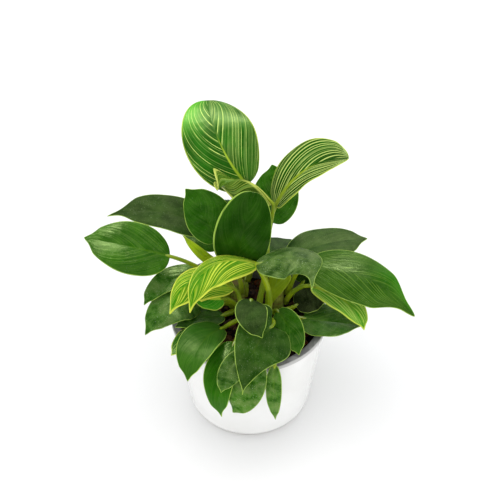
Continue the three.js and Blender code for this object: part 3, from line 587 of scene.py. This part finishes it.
def petiole_line(row, midrib):
    """Points of the petiole, upright from its stem, then over into the midrib; and its foot's radius."""
    x, y, _ = STEMS[row["stem"]]
    azimuth, height = row["foot"]
    away = direction(azimuth)
    foot_radius = row.get("petiole", PETIOLE_FOOT_RADIUS)
    foot = np.array([x, y, height]) + away * (STEM_RADIUS + foot_radius + CLEARANCE)
    base = midrib.base
    span = np.linalg.norm(foot - base)
    rise = row.get("rise", PETIOLE_RISE * span)
    reach = row.get("reach", PETIOLE_REACH * span)
    over_foot = foot + away * PETIOLE_LEAN * rise + np.array([0, 0, rise])
    before_base = base - midrib.along(0) * reach
    t = np.linspace(0, 1, PETIOLE_STEPS)[:, None]
    line = ((1 - t) ** 3 * foot + 3 * t * (1 - t) ** 2 * over_foot
            + 3 * t ** 2 * (1 - t) * before_base + t ** 3 * base)
    return line, foot_radius


def stalk_rings(row, midrib):
    """Points and radii of the petiole, running on under the blade as its rib."""
    line, foot_radius = petiole_line(row, midrib)
    u = np.linspace(0, RIB_END, RIB_STEPS + 1)[1:]
    _, _, normal = blade_axes(row, midrib, u)
    neck = SHEATH_NECK_RADIUS if row["kind"] == "sheath" else PETIOLE_NECK_RADIUS
    rib_radius = neck + (RIB_TIP_RADIUS - neck) * (u / RIB_END) ** RIB_TAPER
    rib = midrib.point(u) - normal * ((rib_radius + RIB_SINK) * smooth(u, 0.0, RIB_SINK_START))[:, None]
    radius = foot_radius + (neck - foot_radius) * np.linspace(0, 1, PETIOLE_STEPS) ** PETIOLE_TAPER
    return np.concatenate([line, rib]), np.concatenate([radius, rib_radius])


def transport(points, start):
    """A direction carried along a line of points without twisting about it."""
    along = unit(np.gradient(points, axis=0))
    carried = []
    current = start
    for way in along:
        current = current - way * np.dot(current, way)
        current = current / np.linalg.norm(current)
        carried.append(current)
    return np.array(carried)


def on_map(box, x, y):
    """Place on the texture map of the shares x and y of a box."""
    left, low, width, height = box
    return left + width * x, low + height * y


def stalk_skin(row, midrib, first, seed):
    """Closed tube of petiole and rib: points, faces counted from first, map corners, field stalk."""
    line, radii = stalk_rings(row, midrib)
    over = transport(line, direction(row["foot"][0]))
    across = np.cross(unit(np.gradient(line, axis=0)), over)
    angles = np.arange(PETIOLE_SIDES) * math.tau / PETIOLE_SIDES
    ring = over[:, None] * np.cos(angles)[None, :, None] + across[:, None] * np.sin(angles)[None, :, None]
    points = (line[:, None] + ring * radii[:, None, None]).reshape(-1, 3)
    travelled = np.concatenate([[0], np.cumsum(np.linalg.norm(np.diff(line, axis=0), axis=1))])
    share = travelled / travelled[-1]

    faces = grid_faces(len(line), PETIOLE_SIDES, first, closed=True)
    corners = []
    for face in faces:
        step, side = divmod(face[0] - first, PETIOLE_SIDES)
        corners.append([on_map(STALK_BOX, share[step + i], (side + k) / PETIOLE_SIDES)
                        for i, k in ((0, 0), (0, 1), (1, 1), (1, 0))])
    last = first + len(points)
    faces.append(list(range(first, first + PETIOLE_SIDES))[::-1])
    faces.append(list(range(last - PETIOLE_SIDES, last)))
    for x, y in CAP_CENTRES:
        corners.append([(x + CAP_RADIUS * math.cos(a), y + CAP_RADIUS * math.sin(a)) for a in angles])

    around = np.tile(np.arange(PETIOLE_SIDES) / PETIOLE_SIDES, len(line))
    stalk = [around, np.repeat(travelled, PETIOLE_SIDES) + seed, np.repeat(share, PETIOLE_SIDES)]
    return points, faces, corners, np.stack(stalk, axis=-1)


def blade_grid():
    """Shares u along a blade and v across it, closest together at its ends, midrib and margins."""
    half_columns = np.array(HALF_COLUMNS)
    v_line = np.concatenate([-half_columns[::-1], [0.0], half_columns])
    t = np.linspace(0, 1, BLADE_ROWS)
    u_line = ROW_EVENNESS * t + (1 - ROW_EVENNESS) * (0.5 - 0.5 * np.cos(math.pi * t))
    return np.meshgrid(u_line, v_line, indexing="ij")


def side_veins(row, midrib, u, v):
    """Millimetres along the midrib at which the side vein through each point starts."""
    left, right = row.get("slant", (VEIN_SLANT, VEIN_SLANT))
    slant = np.where(v < 0, left, right)
    return midrib.length() * (u - slant * np.abs(v) - VEIN_SWEEP * (1 - np.sqrt(1 - VEIN_BEND * v ** 2)))


def blade_sides(row, midrib, u, v, vein, seed):
    """Upper and under side of a blade; all but the sheaths have a groove and low waves."""
    surface = blade_surface(row, midrib, u, v)
    normals = grid_normals(surface)
    half = half_width(row, u, v)
    reach = np.abs(v)
    wave = np.sin(vein / WAVE_LENGTH * math.tau + 2.1 * (v > 0) + seed)
    relief = WAVE_HEIGHT * wave * smooth(half * reach, 0.5, 4) * smooth(half * (1 - reach), 0.0, 4)
    groove = GROOVE_DEPTH * np.exp(-(half * v / GROOVE_WIDTH) ** 2) * smooth(1 - u, 0, 0.5)
    lift = np.zeros_like(u) if row["kind"] == "sheath" else relief - groove
    thick = 0.5 * BLADE_THICKNESS * np.sqrt(np.maximum(0, 1 - reach ** MARGIN_POWER))
    thick = np.minimum(thick, 0.5 * half)
    return [surface + normals * (lift + side * thick)[..., None] for side in (1, -1)]


def glow_share(row, u, v):
    """Share of painted backlight, a vivid green for light shining through the blade; it grows from its start
    along the blade, on one half or on both.
    """
    towards, start, amount = row.get("glow", (0, 0, 0))
    glow = amount * smooth(u, start, start + 0.3)
    return glow * smooth(v * towards, -0.1, 0.9) if towards else glow


def blade_fields(row, u, v, vein, inner, seed):
    """Fields for the material: at the upper side's points, then at the under side's own."""
    def field(*parts):
        parts = [np.broadcast_to(part, u.shape) for part in parts]
        return np.stack([np.concatenate([part.ravel(), part[inner]]) for part in parts], axis=-1)

    stripes, band, dust, midrib = STRENGTHS[row["kind"]]
    half = half_width(row, u, v)
    edge = half * (1 - np.abs(v)) / np.where(v < 0, *row.get("rim", (1, 1)))
    left, right = row.get("bands", (1, 1))
    bands = band * (left + (right - left) * smooth(v, -0.1, 0.1))
    fields = {
        "blade": field(half * v, vein * row.get("pitch", 1), edge),
        "place": field(u, 0.0, seed),
        "tint_and_painted_light": field(row.get("light", 1), stripes * row.get("stripes", 1), glow_share(row, u, v)),
        "pale": field(bands, midrib * row.get("midrib", 1), row.get("rib", 1)),
        "wear": field(row.get("dull", 0), row.get("dust", dust), row.get("thick", 1)),
    }
    fields["place"][u.size:, 1] = 1.0
    return fields


def blade_skin(row, midrib, seed):
    u, v = blade_grid()
    vein = side_veins(row, midrib, u, v)
    top, bottom = blade_sides(row, midrib, u, v, vein, seed)

    # The under grid shares the upper grid's border points.
    upper = np.arange(u.size).reshape(u.shape)
    inner = np.zeros(u.shape, bool)
    inner[1:-1, 1:-1] = True
    under = upper.copy()
    under[inner] = u.size + np.arange(inner.sum())
    points = np.concatenate([top.reshape(-1, 3), bottom[inner]])

    across = 0.5 + half_width(row, u, v) * v / (row["width"] * (1 + abs(row.get("skew", 0))))
    sides = [
        (upper, UPPER_BOX, ((0, 0), (0, 1), (1, 1), (1, 0))),
        (under, UNDER_BOX, ((0, 0), (1, 0), (1, 1), (0, 1))),
    ]
    faces, corners = [], []
    for numbers, box, order in sides:
        for r, c in np.ndindex(u.shape[0] - 1, u.shape[1] - 1):
            cells = [(r + i, c + k) for i, k in order]
            faces.append([int(numbers[cell]) for cell in cells])
            corners.append([on_map(box, across[cell], u[cell]) for cell in cells])
    return points, faces, corners, blade_fields(row, u, v, vein, inner, seed)


def make_leaf(row, number):
    draw = random.Random(number * 17 + 3)
    row["ruffle_turns"] = draw.uniform(*RUFFLE_TURNS)
    row["ruffle_start"] = draw.uniform(0, math.tau)
    seed = draw.uniform(0, 400)
    midrib = Midrib(row)
    blade_points, blade_faces, corners, fields = blade_skin(row, midrib, seed)
    stalk_points, stalk_faces, stalk_corners, stalk = stalk_skin(row, midrib, len(blade_points), seed)
    fields = {name: np.concatenate([values, np.zeros_like(stalk)]) for name, values in fields.items()}
    fields["stalk"] = np.concatenate([np.zeros_like(blade_points), stalk])
    points = np.clip(np.concatenate([blade_points, stalk_points]), *np.array(CAD_BOX) / MM)
    slots = [0] * len(blade_faces) + [1] * len(stalk_faces)
    flat = [value for face in corners + stalk_corners for corner in face for value in corner]
    kind = row["kind"]
    skins = [LEAF_SKINS[kind], STALK_SKINS["sheath" if kind == "sheath" else "leaf"]]
    faces = blade_faces + stalk_faces
    piece = add_piece(row["name"] + "_skin", points, faces, skins, slots, fields, {"OFBake": flat})
    show(piece, row["name"])


for number, row in enumerate(LEAVES):
    make_leaf(row, number)


# -------- stems

def lathe(profile, segments):
    """Points and faces of a closed solid turned about Z from (radius, height) pairs, axis to axis."""
    angles = np.arange(segments) * math.tau / segments
    rings = profile[1:-1]
    points = [(0, 0, profile[0][1])]
    for r, z in rings:
        points += [(r * math.cos(a), r * math.sin(a), z) for a in angles]
    points.append((0, 0, profile[-1][1]))
    faces = [[0, 1 + (k + 1) % segments, 1 + k] for k in range(segments)]
    faces += grid_faces(len(rings), segments, 1, closed=True)
    last = len(points) - 1
    top = last - segments
    faces += [[last, top + k, top + (k + 1) % segments] for k in range(segments)]
    return np.array(points, float), faces


STEM_SEGMENTS, STEM_ROWS = 40, 60
STEM_DOME, STEM_TIP_RADIUS, STEM_BULGE = 5.0, 0.3, 0.25
SCAR_SPACING, SCAR_DEPTH, SCAR_POWER = 7.5, 0.5, 1.6


def stem_material():
    """Green-brown bark with an upright grain and a brown ring at every leaf scar."""
    g = Graph("stem_skin", ior=1.45)
    place = g.place()
    x, y, z = g.parts(place)
    grain = g.noise(g.vector(g.times(x, 1000.0), g.times(y, 1000.0), g.times(z, 160.0)), 0.9, 3.0)
    cloud = g.noise(place, 120.0, 3.0)
    ring = g.math("SINE", g.times(z, 1000 * math.tau / SCAR_SPACING))
    colour = g.mix(g.step(cloud, 0.35, 0.65), (104, 118, 34), (146, 158, 58))
    colour = g.mix(g.times(g.step(grain, 0.5, 0.7), 0.6), colour, (96, 86, 40))
    colour = g.mix(g.times(g.step(ring, 0.7, 1.0), 0.7), colour, (120, 92, 48))
    normal = g.bump(g.plus(grain, g.times(cloud, 0.5)), 0.5, 0.0006)
    return g.finish(colour, g.step(grain, 0.3, 0.7, 0.5, 0.7), normal)


stem_skin = stem_material()
for stem, (stem_x, stem_y, top) in STEMS.items():
    bottom = top - STEM_HEIGHT - STEM_BURIED
    profile = [(0, bottom)]
    for i in range(STEM_ROWS + 1):
        z = bottom + (top - bottom) * i / STEM_ROWS
        phase = ((z - top) / SCAR_SPACING) % 1
        radius = STEM_RADIUS - SCAR_DEPTH * (1 - math.sin(math.pi * phase ** SCAR_POWER))
        dome = max(0.0, 1 - (top - z) / STEM_DOME)
        profile.append((max(STEM_TIP_RADIUS, radius * math.sqrt(1 - dome ** 2)), z))
    profile.append((0, top))
    points, faces = lathe(profile, STEM_SEGMENTS)
    for i, (x, y, z) in enumerate(points):
        bulge = STEM_BULGE * noise.noise(Vector((x * 0.3, y * 0.3, z * 0.15 + stem_x)))
        away = math.hypot(x, y)
        if away > 0.5:
            points[i][:2] *= 1 + bulge / away
    piece = add_piece("stem_" + stem + "_skin", points + np.array([stem_x, stem_y, 0]), faces, [stem_skin])
    show(piece, "stem_" + stem)


# -------- pots

COVER_RIM_RADIUS, COVER_RIM_HEIGHT = 58.6, 85.4
COVER_FOOT_RADIUS, COVER_FOOT_ROUNDING, COVER_FOOT_FLARE = 43.0, 7.0, 5.6
COVER_WALL, COVER_FLOOR, COVER_BEVEL = 2.4, 4.0, 1.5
RECESS_RADIUS, RECESS_HEIGHT, FOOT_RING_RADIUS = 38.0, 0.7, 39.0
FOOT_STEPS = 12
LIP_RADIUS, LIP_TOP, LIP_DEPTH, LIP_FALL = 60.0, 89.0, 3.2, 0.5
NURSERY_WALL, NURSERY_TOP_RADIUS, NURSERY_FLOOR_RADIUS = 1.3, 55.4, 41.5
NURSERY_FLOOR_HEIGHT, NURSERY_FLOOR = 4.4, 2.0
DRAIN_COUNT, DRAIN_RADIUS, DRAIN_CIRCLE, DRILL_OVERRUN = 5, 3.5, 26.0, 2.0
POT_SEGMENTS = 192


def rounded(points, radius, steps=5):
    """Profile with its corners rounded off by the radius, and by less beside a short side."""
    result = [points[0]]
    for before, corner, after in zip(points, points[1:], points[2:]):
        a, b, c = (np.array(p, float) for p in (before, corner, after))
        cut = min(radius, 0.45 * np.linalg.norm(a - b), 0.45 * np.linalg.norm(c - b))
        start, end = b + unit(a - b) * cut, b + unit(c - b) * cut
        for i in range(steps + 1):
            t = i / steps
            result.append(tuple((1 - t) ** 2 * start + 2 * t * (1 - t) * b + t ** 2 * end))
    return result + [points[-1]]


def with_steps(profile, longest):
    """Profile with its long straight stretches cut into shorter ones."""
    result = [profile[0]]
    for a, b in zip(profile, profile[1:]):
        count = max(1, math.ceil(math.dist(a, b) / longest))
        result += [tuple(np.array(a) + (np.array(b) - np.array(a)) * k / count) for k in range(1, count + 1)]
    return result


def ceramic_material():
    """White glaze: a faint cloud of tone, tiny pits and an orange-peel surface."""
    g = Graph("glaze", ior=1.5, coat_weight=0.3, coat_roughness=0.06)
    place = g.place()
    _, _, height = g.parts(place)
    cloud = g.noise(place, 26.0, 3.0)
    peel = g.noise(place, 260.0, 2.0)
    pits = g.node("TexVoronoi", {"Vector": place, "Scale": 300.0}).outputs["Distance"]
    pit = g.times(g.step(pits, 0.09, 0.04), g.step(g.noise(place, 90.0), 0.55, 0.66))
    colour = g.mix(g.step(cloud, 0.3, 0.7), (236, 236, 234), (243, 243, 242))
    colour = g.mix(g.times(pit, 0.4), colour, (206, 204, 198))
    # A warmer tone right above the table.
    colour = g.mix(g.step(height, 0.0022, 0.0006, 0.0, 0.6), colour, (214, 208, 196))
    rough = g.step(cloud, 0.3, 0.7, 0.12, 0.2)
    normal = g.bump(peel, 0.12, 0.0004, g.bump(pit, 0.2, 0.0001))
    return g.finish(colour, rough, normal)


def plastic_material():
    """Grey moulded plastic: fine grain, dull scuffs, a worn lip and a painted highlight on the lip's outer
    edge.
    """
    g = Graph("nursery_plastic", ior=1.46)
    place = g.place()
    x, y, height = g.parts(place)
    grain = g.noise(place, 1600.0, 2.0)
    cloud = g.noise(place, 45.0, 3.0)
    turn = g.math("ARCTAN2", y, x)
    scuffs = g.noise(g.vector(g.times(turn, 3.0), g.times(height, 900.0), 0.0), 1.4, 3.0, 0.7)
    colour = g.mix(g.step(cloud, 0.3, 0.7), (106, 106, 107), (128, 128, 127))
    colour = g.mix(g.times(g.step(scuffs, 0.58, 0.72), 0.35), colour, (134, 133, 134))
    # The worn top of the lip, and a painted highlight along the lip's outer edge, by height and radius in
    # metres.
    worn = g.times(g.step(height, 0.0875, 0.089), g.step(g.noise(place, 220.0), 0.45, 0.65), 0.3)
    colour = g.mix(worn, colour, (178, 178, 178))
    radius = g.math("SQRT", g.plus(g.times(x, x), g.times(y, y)))
    # Painted highlight: a pale line along the rounded outer edge of the lip.
    edge = g.times(g.step(radius, 0.0589, 0.0595), g.step(height, 0.083, 0.085))
    colour = g.mix(g.times(edge, 0.75), colour, (204, 204, 202))
    rough = g.plus(g.step(cloud, 0.3, 0.7, 0.34, 0.46), g.times(g.step(scuffs, 0.5, 0.7), 0.12))
    return g.finish(colour, rough, g.bump(grain, 0.25, 0.0002))


foot = []
for i in range(FOOT_STEPS + 1):
    a = math.pi / 2 * i / FOOT_STEPS
    foot.append((COVER_FOOT_RADIUS + COVER_FOOT_FLARE * math.sin(a), COVER_FOOT_ROUNDING * (1 - math.cos(a))))
inner_foot = COVER_FOOT_RADIUS + COVER_FOOT_FLARE - COVER_WALL
rim = rounded([
    foot[-1],
    (COVER_RIM_RADIUS, COVER_RIM_HEIGHT),
    (COVER_RIM_RADIUS - COVER_WALL, COVER_RIM_HEIGHT),
    (inner_foot, COVER_FOOT_ROUNDING + COVER_BEVEL),
    (COVER_FOOT_RADIUS - COVER_BEVEL, COVER_FLOOR),
    (0, COVER_FLOOR),
], radius=1.1)
recess = [(0, RECESS_HEIGHT), (RECESS_RADIUS, RECESS_HEIGHT), (FOOT_RING_RADIUS, 0.0)]
cover_points, cover_faces = lathe(with_steps(recess + foot[:-1] + rim, longest=5.0), POT_SEGMENTS)
cover = add_piece("cover_pot_skin", cover_points, cover_faces, [ceramic_material()])
show(cover, "cover_pot")


def nursery_radius(z):
    """Inner radius of the nursery pot at a height."""
    share = (z - NURSERY_FLOOR_HEIGHT) / (LIP_TOP - NURSERY_FLOOR_HEIGHT)
    return NURSERY_FLOOR_RADIUS + (NURSERY_TOP_RADIUS - NURSERY_FLOOR_RADIUS) * share - NURSERY_WALL


floor_top = NURSERY_FLOOR_HEIGHT + NURSERY_FLOOR
lip_under = LIP_TOP - LIP_DEPTH
nursery_profile = rounded([
    (0, NURSERY_FLOOR_HEIGHT),
    (NURSERY_FLOOR_RADIUS, NURSERY_FLOOR_HEIGHT),
    (nursery_radius(lip_under) + NURSERY_WALL, lip_under),
    (LIP_RADIUS, lip_under),
    (LIP_RADIUS, LIP_TOP),
    (nursery_radius(LIP_TOP), LIP_TOP - LIP_FALL),
    (nursery_radius(floor_top), floor_top),
    (0, floor_top),
], radius=0.9)
nursery_points, nursery_faces = lathe(with_steps(nursery_profile, longest=6.0), POT_SEGMENTS)
nursery = add_piece("nursery_pot_skin", nursery_points, nursery_faces, [plastic_material()])


def drill(piece, centres, radius, bottom, top, segments=32):
    """Cuts round upright holes through a piece."""
    cutter = bmesh.new()
    size = dict(radius1=radius * MM, radius2=radius * MM, depth=(top - bottom) * MM)
    for x, y in centres:
        at = Matrix.Translation(Vector((x, y, (bottom + top) / 2)) * MM)
        bmesh.ops.create_cone(cutter, cap_ends=True, segments=segments, matrix=at, **size)
    mesh = bpy.data.meshes.new("drill")
    cutter.to_mesh(mesh)
    cutter.free()
    tool = add_object("drill", mesh)
    cut = piece.modifiers.new("holes", "BOOLEAN")
    cut.operation, cut.object, cut.solver = "DIFFERENCE", tool, "EXACT"
    with_holes = bpy.data.meshes.new_from_object(piece.evaluated_get(bpy.context.evaluated_depsgraph_get()))
    piece.modifiers.clear()
    old = piece.data
    piece.data = with_holes
    bpy.data.meshes.remove(old)
    bpy.data.objects.remove(tool)
    bpy.data.meshes.remove(mesh)


drain_angles = [math.tau * i / DRAIN_COUNT for i in range(DRAIN_COUNT)]
drill(nursery, [(DRAIN_CIRCLE * math.cos(a), DRAIN_CIRCLE * math.sin(a)) for a in drain_angles],
      DRAIN_RADIUS, NURSERY_FLOOR_HEIGHT - DRILL_OVERRUN, floor_top + DRILL_OVERRUN)
show(nursery, "nursery_pot")


# -------- soil

SOIL_EDGE_HEIGHT, SOIL_CROWN, SOIL_RELIEF = 78.0, 3.0, 0.9
SOIL_RINGS, SOIL_SEGMENTS = 64, 180
# Lumps of the soil, as in the part's source: radians per millimetre along X and Y.
LUMPS_ALONG_X, LUMPS_ALONG_Y = 0.41, 0.37
FINE_LUMPS_X, FINE_LUMPS_Y, FINE_LUMPS_SHARE = 0.83, 0.71, 0.6
# Painted shade: the soil is painted dark round this point between the stems, where the leaves shade it; in
# metres.
CROWN_CENTRE, PAINTED_SHADE_END, PAINTED_SHADE_FULL = (0.005, 0.006, 0.0), 0.048, 0.03

CHIP_COUNT, CHIP_SIZES = 620, (2.0, 2.6, 3.2, 4.2, 5.4)
# Width and thickness of a chip as shares of its length.
CHIP_WIDTHS, CHIP_DEPTHS = (0.4, 0.75), (0.18, 0.4)
CHIP_ROUNDNESS, CHIP_BUMPS, CHIP_TILT = 0.75, 0.35, 0.3
CHIP_LIFTS, WARM_CHIPS = (-0.1, 0.5), 0.3


def soil_material():
    """Bark mix; field chip is a chip's own (shade, warmth, 1), or zeros on the fine ground between."""
    g = Graph("bark_mix", ior=1.4, specular_ior_level=0.3)
    place = g.place()
    shade, warmth, chip = g.parts(g.field("chip"))
    crumbs = g.noise(place, 900.0, 4.0, 0.65)
    drawn_out = g.node("VectorMath", {0: place, 1: (500, 500, 2600)}, operation="MULTIPLY")
    fibre = g.noise(drawn_out.outputs[0], 0.6, 3.0)
    ground = g.mix(g.step(crumbs, 0.35, 0.7), (14, 9, 7), (58, 38, 26))
    bark = g.mix(g.step(shade, 0.0, 1.0), (34, 18, 10), (140, 92, 58))
    bark = g.mix(g.times(warmth, 0.8), bark, (176, 84, 38))
    bark = g.mix(g.times(g.step(fibre, 0.45, 0.7), 0.5), bark, (26, 15, 10))
    colour = g.mix(chip, ground, bark)
    x, y, _ = g.parts(place)
    # Painted shade: darker towards the crown, where the leaves shade the soil.
    away = g.node("VectorMath", {0: g.vector(x, y, 0.0), 1: CROWN_CENTRE}, operation="DISTANCE")
    painted_shade = g.step(away.outputs["Value"], PAINTED_SHADE_END, PAINTED_SHADE_FULL, 0.0, 0.65)
    colour = g.mix(painted_shade, colour, (8, 9, 3))
    height = g.plus(crumbs, g.times(fibre, 0.7))
    return g.finish(colour, g.step(crumbs, 0.3, 0.7, 0.75, 0.98), g.bump(height, 0.8, 0.0012))


def soil_height(x, y):
    """Height of the lumpy top: a low crown, with lumps that die out towards the pot."""
    share = math.hypot(x, y) / NURSERY_TOP_RADIUS
    coarse = math.sin(LUMPS_ALONG_X * x) * math.cos(LUMPS_ALONG_Y * y)
    coarse += FINE_LUMPS_SHARE * math.sin(FINE_LUMPS_X * x - FINE_LUMPS_Y * y)
    fine = noise.fractal(Vector((x, y, 3.0)) * 0.45, 0.8, 2.1, 4)
    return SOIL_EDGE_HEIGHT + SOIL_CROWN * (1 - share ** 2) + SOIL_RELIEF * (coarse + fine) * (1 - share ** 4)


soil_bottom = floor_top + CLEARANCE
soil_edge = nursery_radius(SOIL_EDGE_HEIGHT) - CLEARANCE
soil_floor = nursery_radius(soil_bottom) - CLEARANCE
soil_profile = [(0, soil_bottom), (soil_floor, soil_bottom), (soil_edge, SOIL_EDGE_HEIGHT)]
soil_profile = with_steps(soil_profile, longest=8.0)
soil_profile += [(soil_edge * (1 - k / SOIL_RINGS), SOIL_EDGE_HEIGHT) for k in range(1, SOIL_RINGS)]
soil_profile.append((0, SOIL_EDGE_HEIGHT))
soil_points, soil_faces = lathe(soil_profile, SOIL_SEGMENTS)
for i, (x, y, z) in enumerate(soil_points):
    if abs(z - SOIL_EDGE_HEIGHT) < 1e-6:
        soil_points[i][2] = soil_height(x, y)


def chip_mesh():
    ball = bmesh.new()
    bmesh.ops.create_icosphere(ball, subdivisions=2, radius=1.0)
    points = np.array([v.co[:] for v in ball.verts])
    faces = [[v.index for v in f.verts] for f in ball.faces]
    ball.free()
    return points, faces


chip_points, chip_faces = chip_mesh()
draw = random.Random(41)
all_points, all_faces, all_chips = [soil_points], list(soil_faces), [np.zeros((len(soil_points), 3))]
count = len(soil_points)
placed = 0
while placed < CHIP_COUNT:
    size = draw.choice(CHIP_SIZES)
    away = (soil_edge - size) * math.sqrt(draw.random())
    angle = draw.uniform(0, math.tau)
    x, y = away * math.cos(angle), away * math.sin(angle)
    if min(math.hypot(x - sx, y - sy) for sx, sy, _ in STEMS.values()) < STEM_RADIUS + size * 0.6:
        continue
    placed += 1
    stretch = size * np.array([1.0, draw.uniform(*CHIP_WIDTHS), draw.uniform(*CHIP_DEPTHS)])
    shape = np.sign(chip_points) * np.abs(chip_points) ** CHIP_ROUNDNESS * stretch
    bumps = np.array([noise.noise(Vector(p) * 1.7 + Vector((placed, 0, 0))) for p in chip_points])
    shape = shape * (1 + CHIP_BUMPS * bumps)[:, None]
    turn = Matrix.Rotation(draw.uniform(0, math.tau), 3, "Z")
    for axis in "XY":
        turn = turn @ Matrix.Rotation(draw.gauss(0, CHIP_TILT), 3, axis)
    shape = shape @ np.array(turn).T
    height = soil_height(x, y) + draw.uniform(*CHIP_LIFTS) * stretch[2]
    all_points.append(shape + np.array([x, y, height]))
    all_faces += [[k + count for k in face] for face in chip_faces]
    count += len(shape)
    warm = draw.random() if draw.random() < WARM_CHIPS else 0.0
    all_chips.append(np.tile([draw.random() ** 2, warm, 1.0], (len(shape), 1)))
soil = add_piece("potting_soil_skin", np.concatenate(all_points), all_faces, [soil_material()],
                 fields={"chip": np.concatenate(all_chips)})
show(soil, "potting_soil")


# -------- floor, light and camera

def floor_material():
    g = Graph("studio_floor", specular_ior_level=0.2)
    place = g.place()
    cloud = g.noise(place, 1.5, 2.0)
    colour = g.mix(g.step(cloud, 0.3, 0.7), (238, 238, 240), (241, 241, 241))
    return g.finish(colour, 0.6, g.bump(g.noise(place, 300.0), 0.02, 0.0002))


def floor_piece(name, inner, outer, skin):
    """Flat ring of floor round the object; an inner radius of 0 makes it a disc."""
    sides = 64
    angles = [math.tau * k / sides for k in range(sides)]
    points = [(r * math.cos(a), r * math.sin(a), 0) for r in (outer, inner) if r for a in angles]
    faces = grid_faces(2, sides, closed=True, flip=True) if inner else [list(range(sides))]
    piece = add_piece(name, points, faces, [skin])
    return piece


FLOOR_NEAR, FLOOR_FAR = 420, 5000
floor_skin = floor_material()
floor_piece("studio_floor_near", 0, FLOOR_NEAR, floor_skin)
floor_piece("studio_floor_far", FLOOR_NEAR, FLOOR_FAR, floor_skin).visible_glossy = False

WORLD_STRENGTH = 1.18
world = bpy.data.worlds.new("studio")
scene.world = world
world.use_nodes = True
background = world.node_tree.nodes["Background"]
background.inputs["Color"].default_value = (1.0, 1.0, 1.0, 1.0)
background.inputs["Strength"].default_value = WORLD_STRENGTH
world.cycles_visibility.glossy = False


def softbox(name, place, target, size, power, diffuse=True, glossy=True):
    """Rectangular lamp at a place in metres, turned to its target, with its power in watts."""
    light = bpy.data.lights.new(name, "AREA")
    light.shape, light.size, light.size_y, light.energy = "RECTANGLE", size[0], size[1], power
    lamp = add_object(name, light)
    lamp.location = place
    lamp.rotation_euler = (Vector(target) - Vector(place)).to_track_quat("-Z", "Y").to_euler()
    lamp.visible_diffuse, lamp.visible_glossy = diffuse, glossy


softbox("softbox_fill", place=(-0.3, 0.2, 1.6), target=(0, 0, 0.1), size=(1.4, 1.4), power=6.0,
        glossy=False)
softbox("softbox_over", place=(-0.1, 0.3, 1.5), target=(0, 0, 0.1), size=(0.5, 0.4), power=27.0,
        diffuse=False)
softbox("softbox_back", place=(0.5, 1.6, 1.0), target=(0, 0, 0.15), size=(1.6, 1.3), power=9.0,
        diffuse=False)

CAMERA_PLACE = (0.0004, -0.501, 0.566)
CAMERA_PITCH = 39.6
SENSOR_WIDTH = 36.0
FOCAL_PIXELS, FRAME_PIXELS = 900, 500
camera_data = bpy.data.cameras.new("camera")
camera_data.sensor_width = SENSOR_WIDTH
camera_data.lens = SENSOR_WIDTH * FOCAL_PIXELS / FRAME_PIXELS
camera = add_object("camera", camera_data)
camera.location = CAMERA_PLACE
camera.rotation_euler = (math.radians(90 - CAMERA_PITCH), 0, 0)
scene.camera = camera
scene.view_settings.view_transform = "Standard"
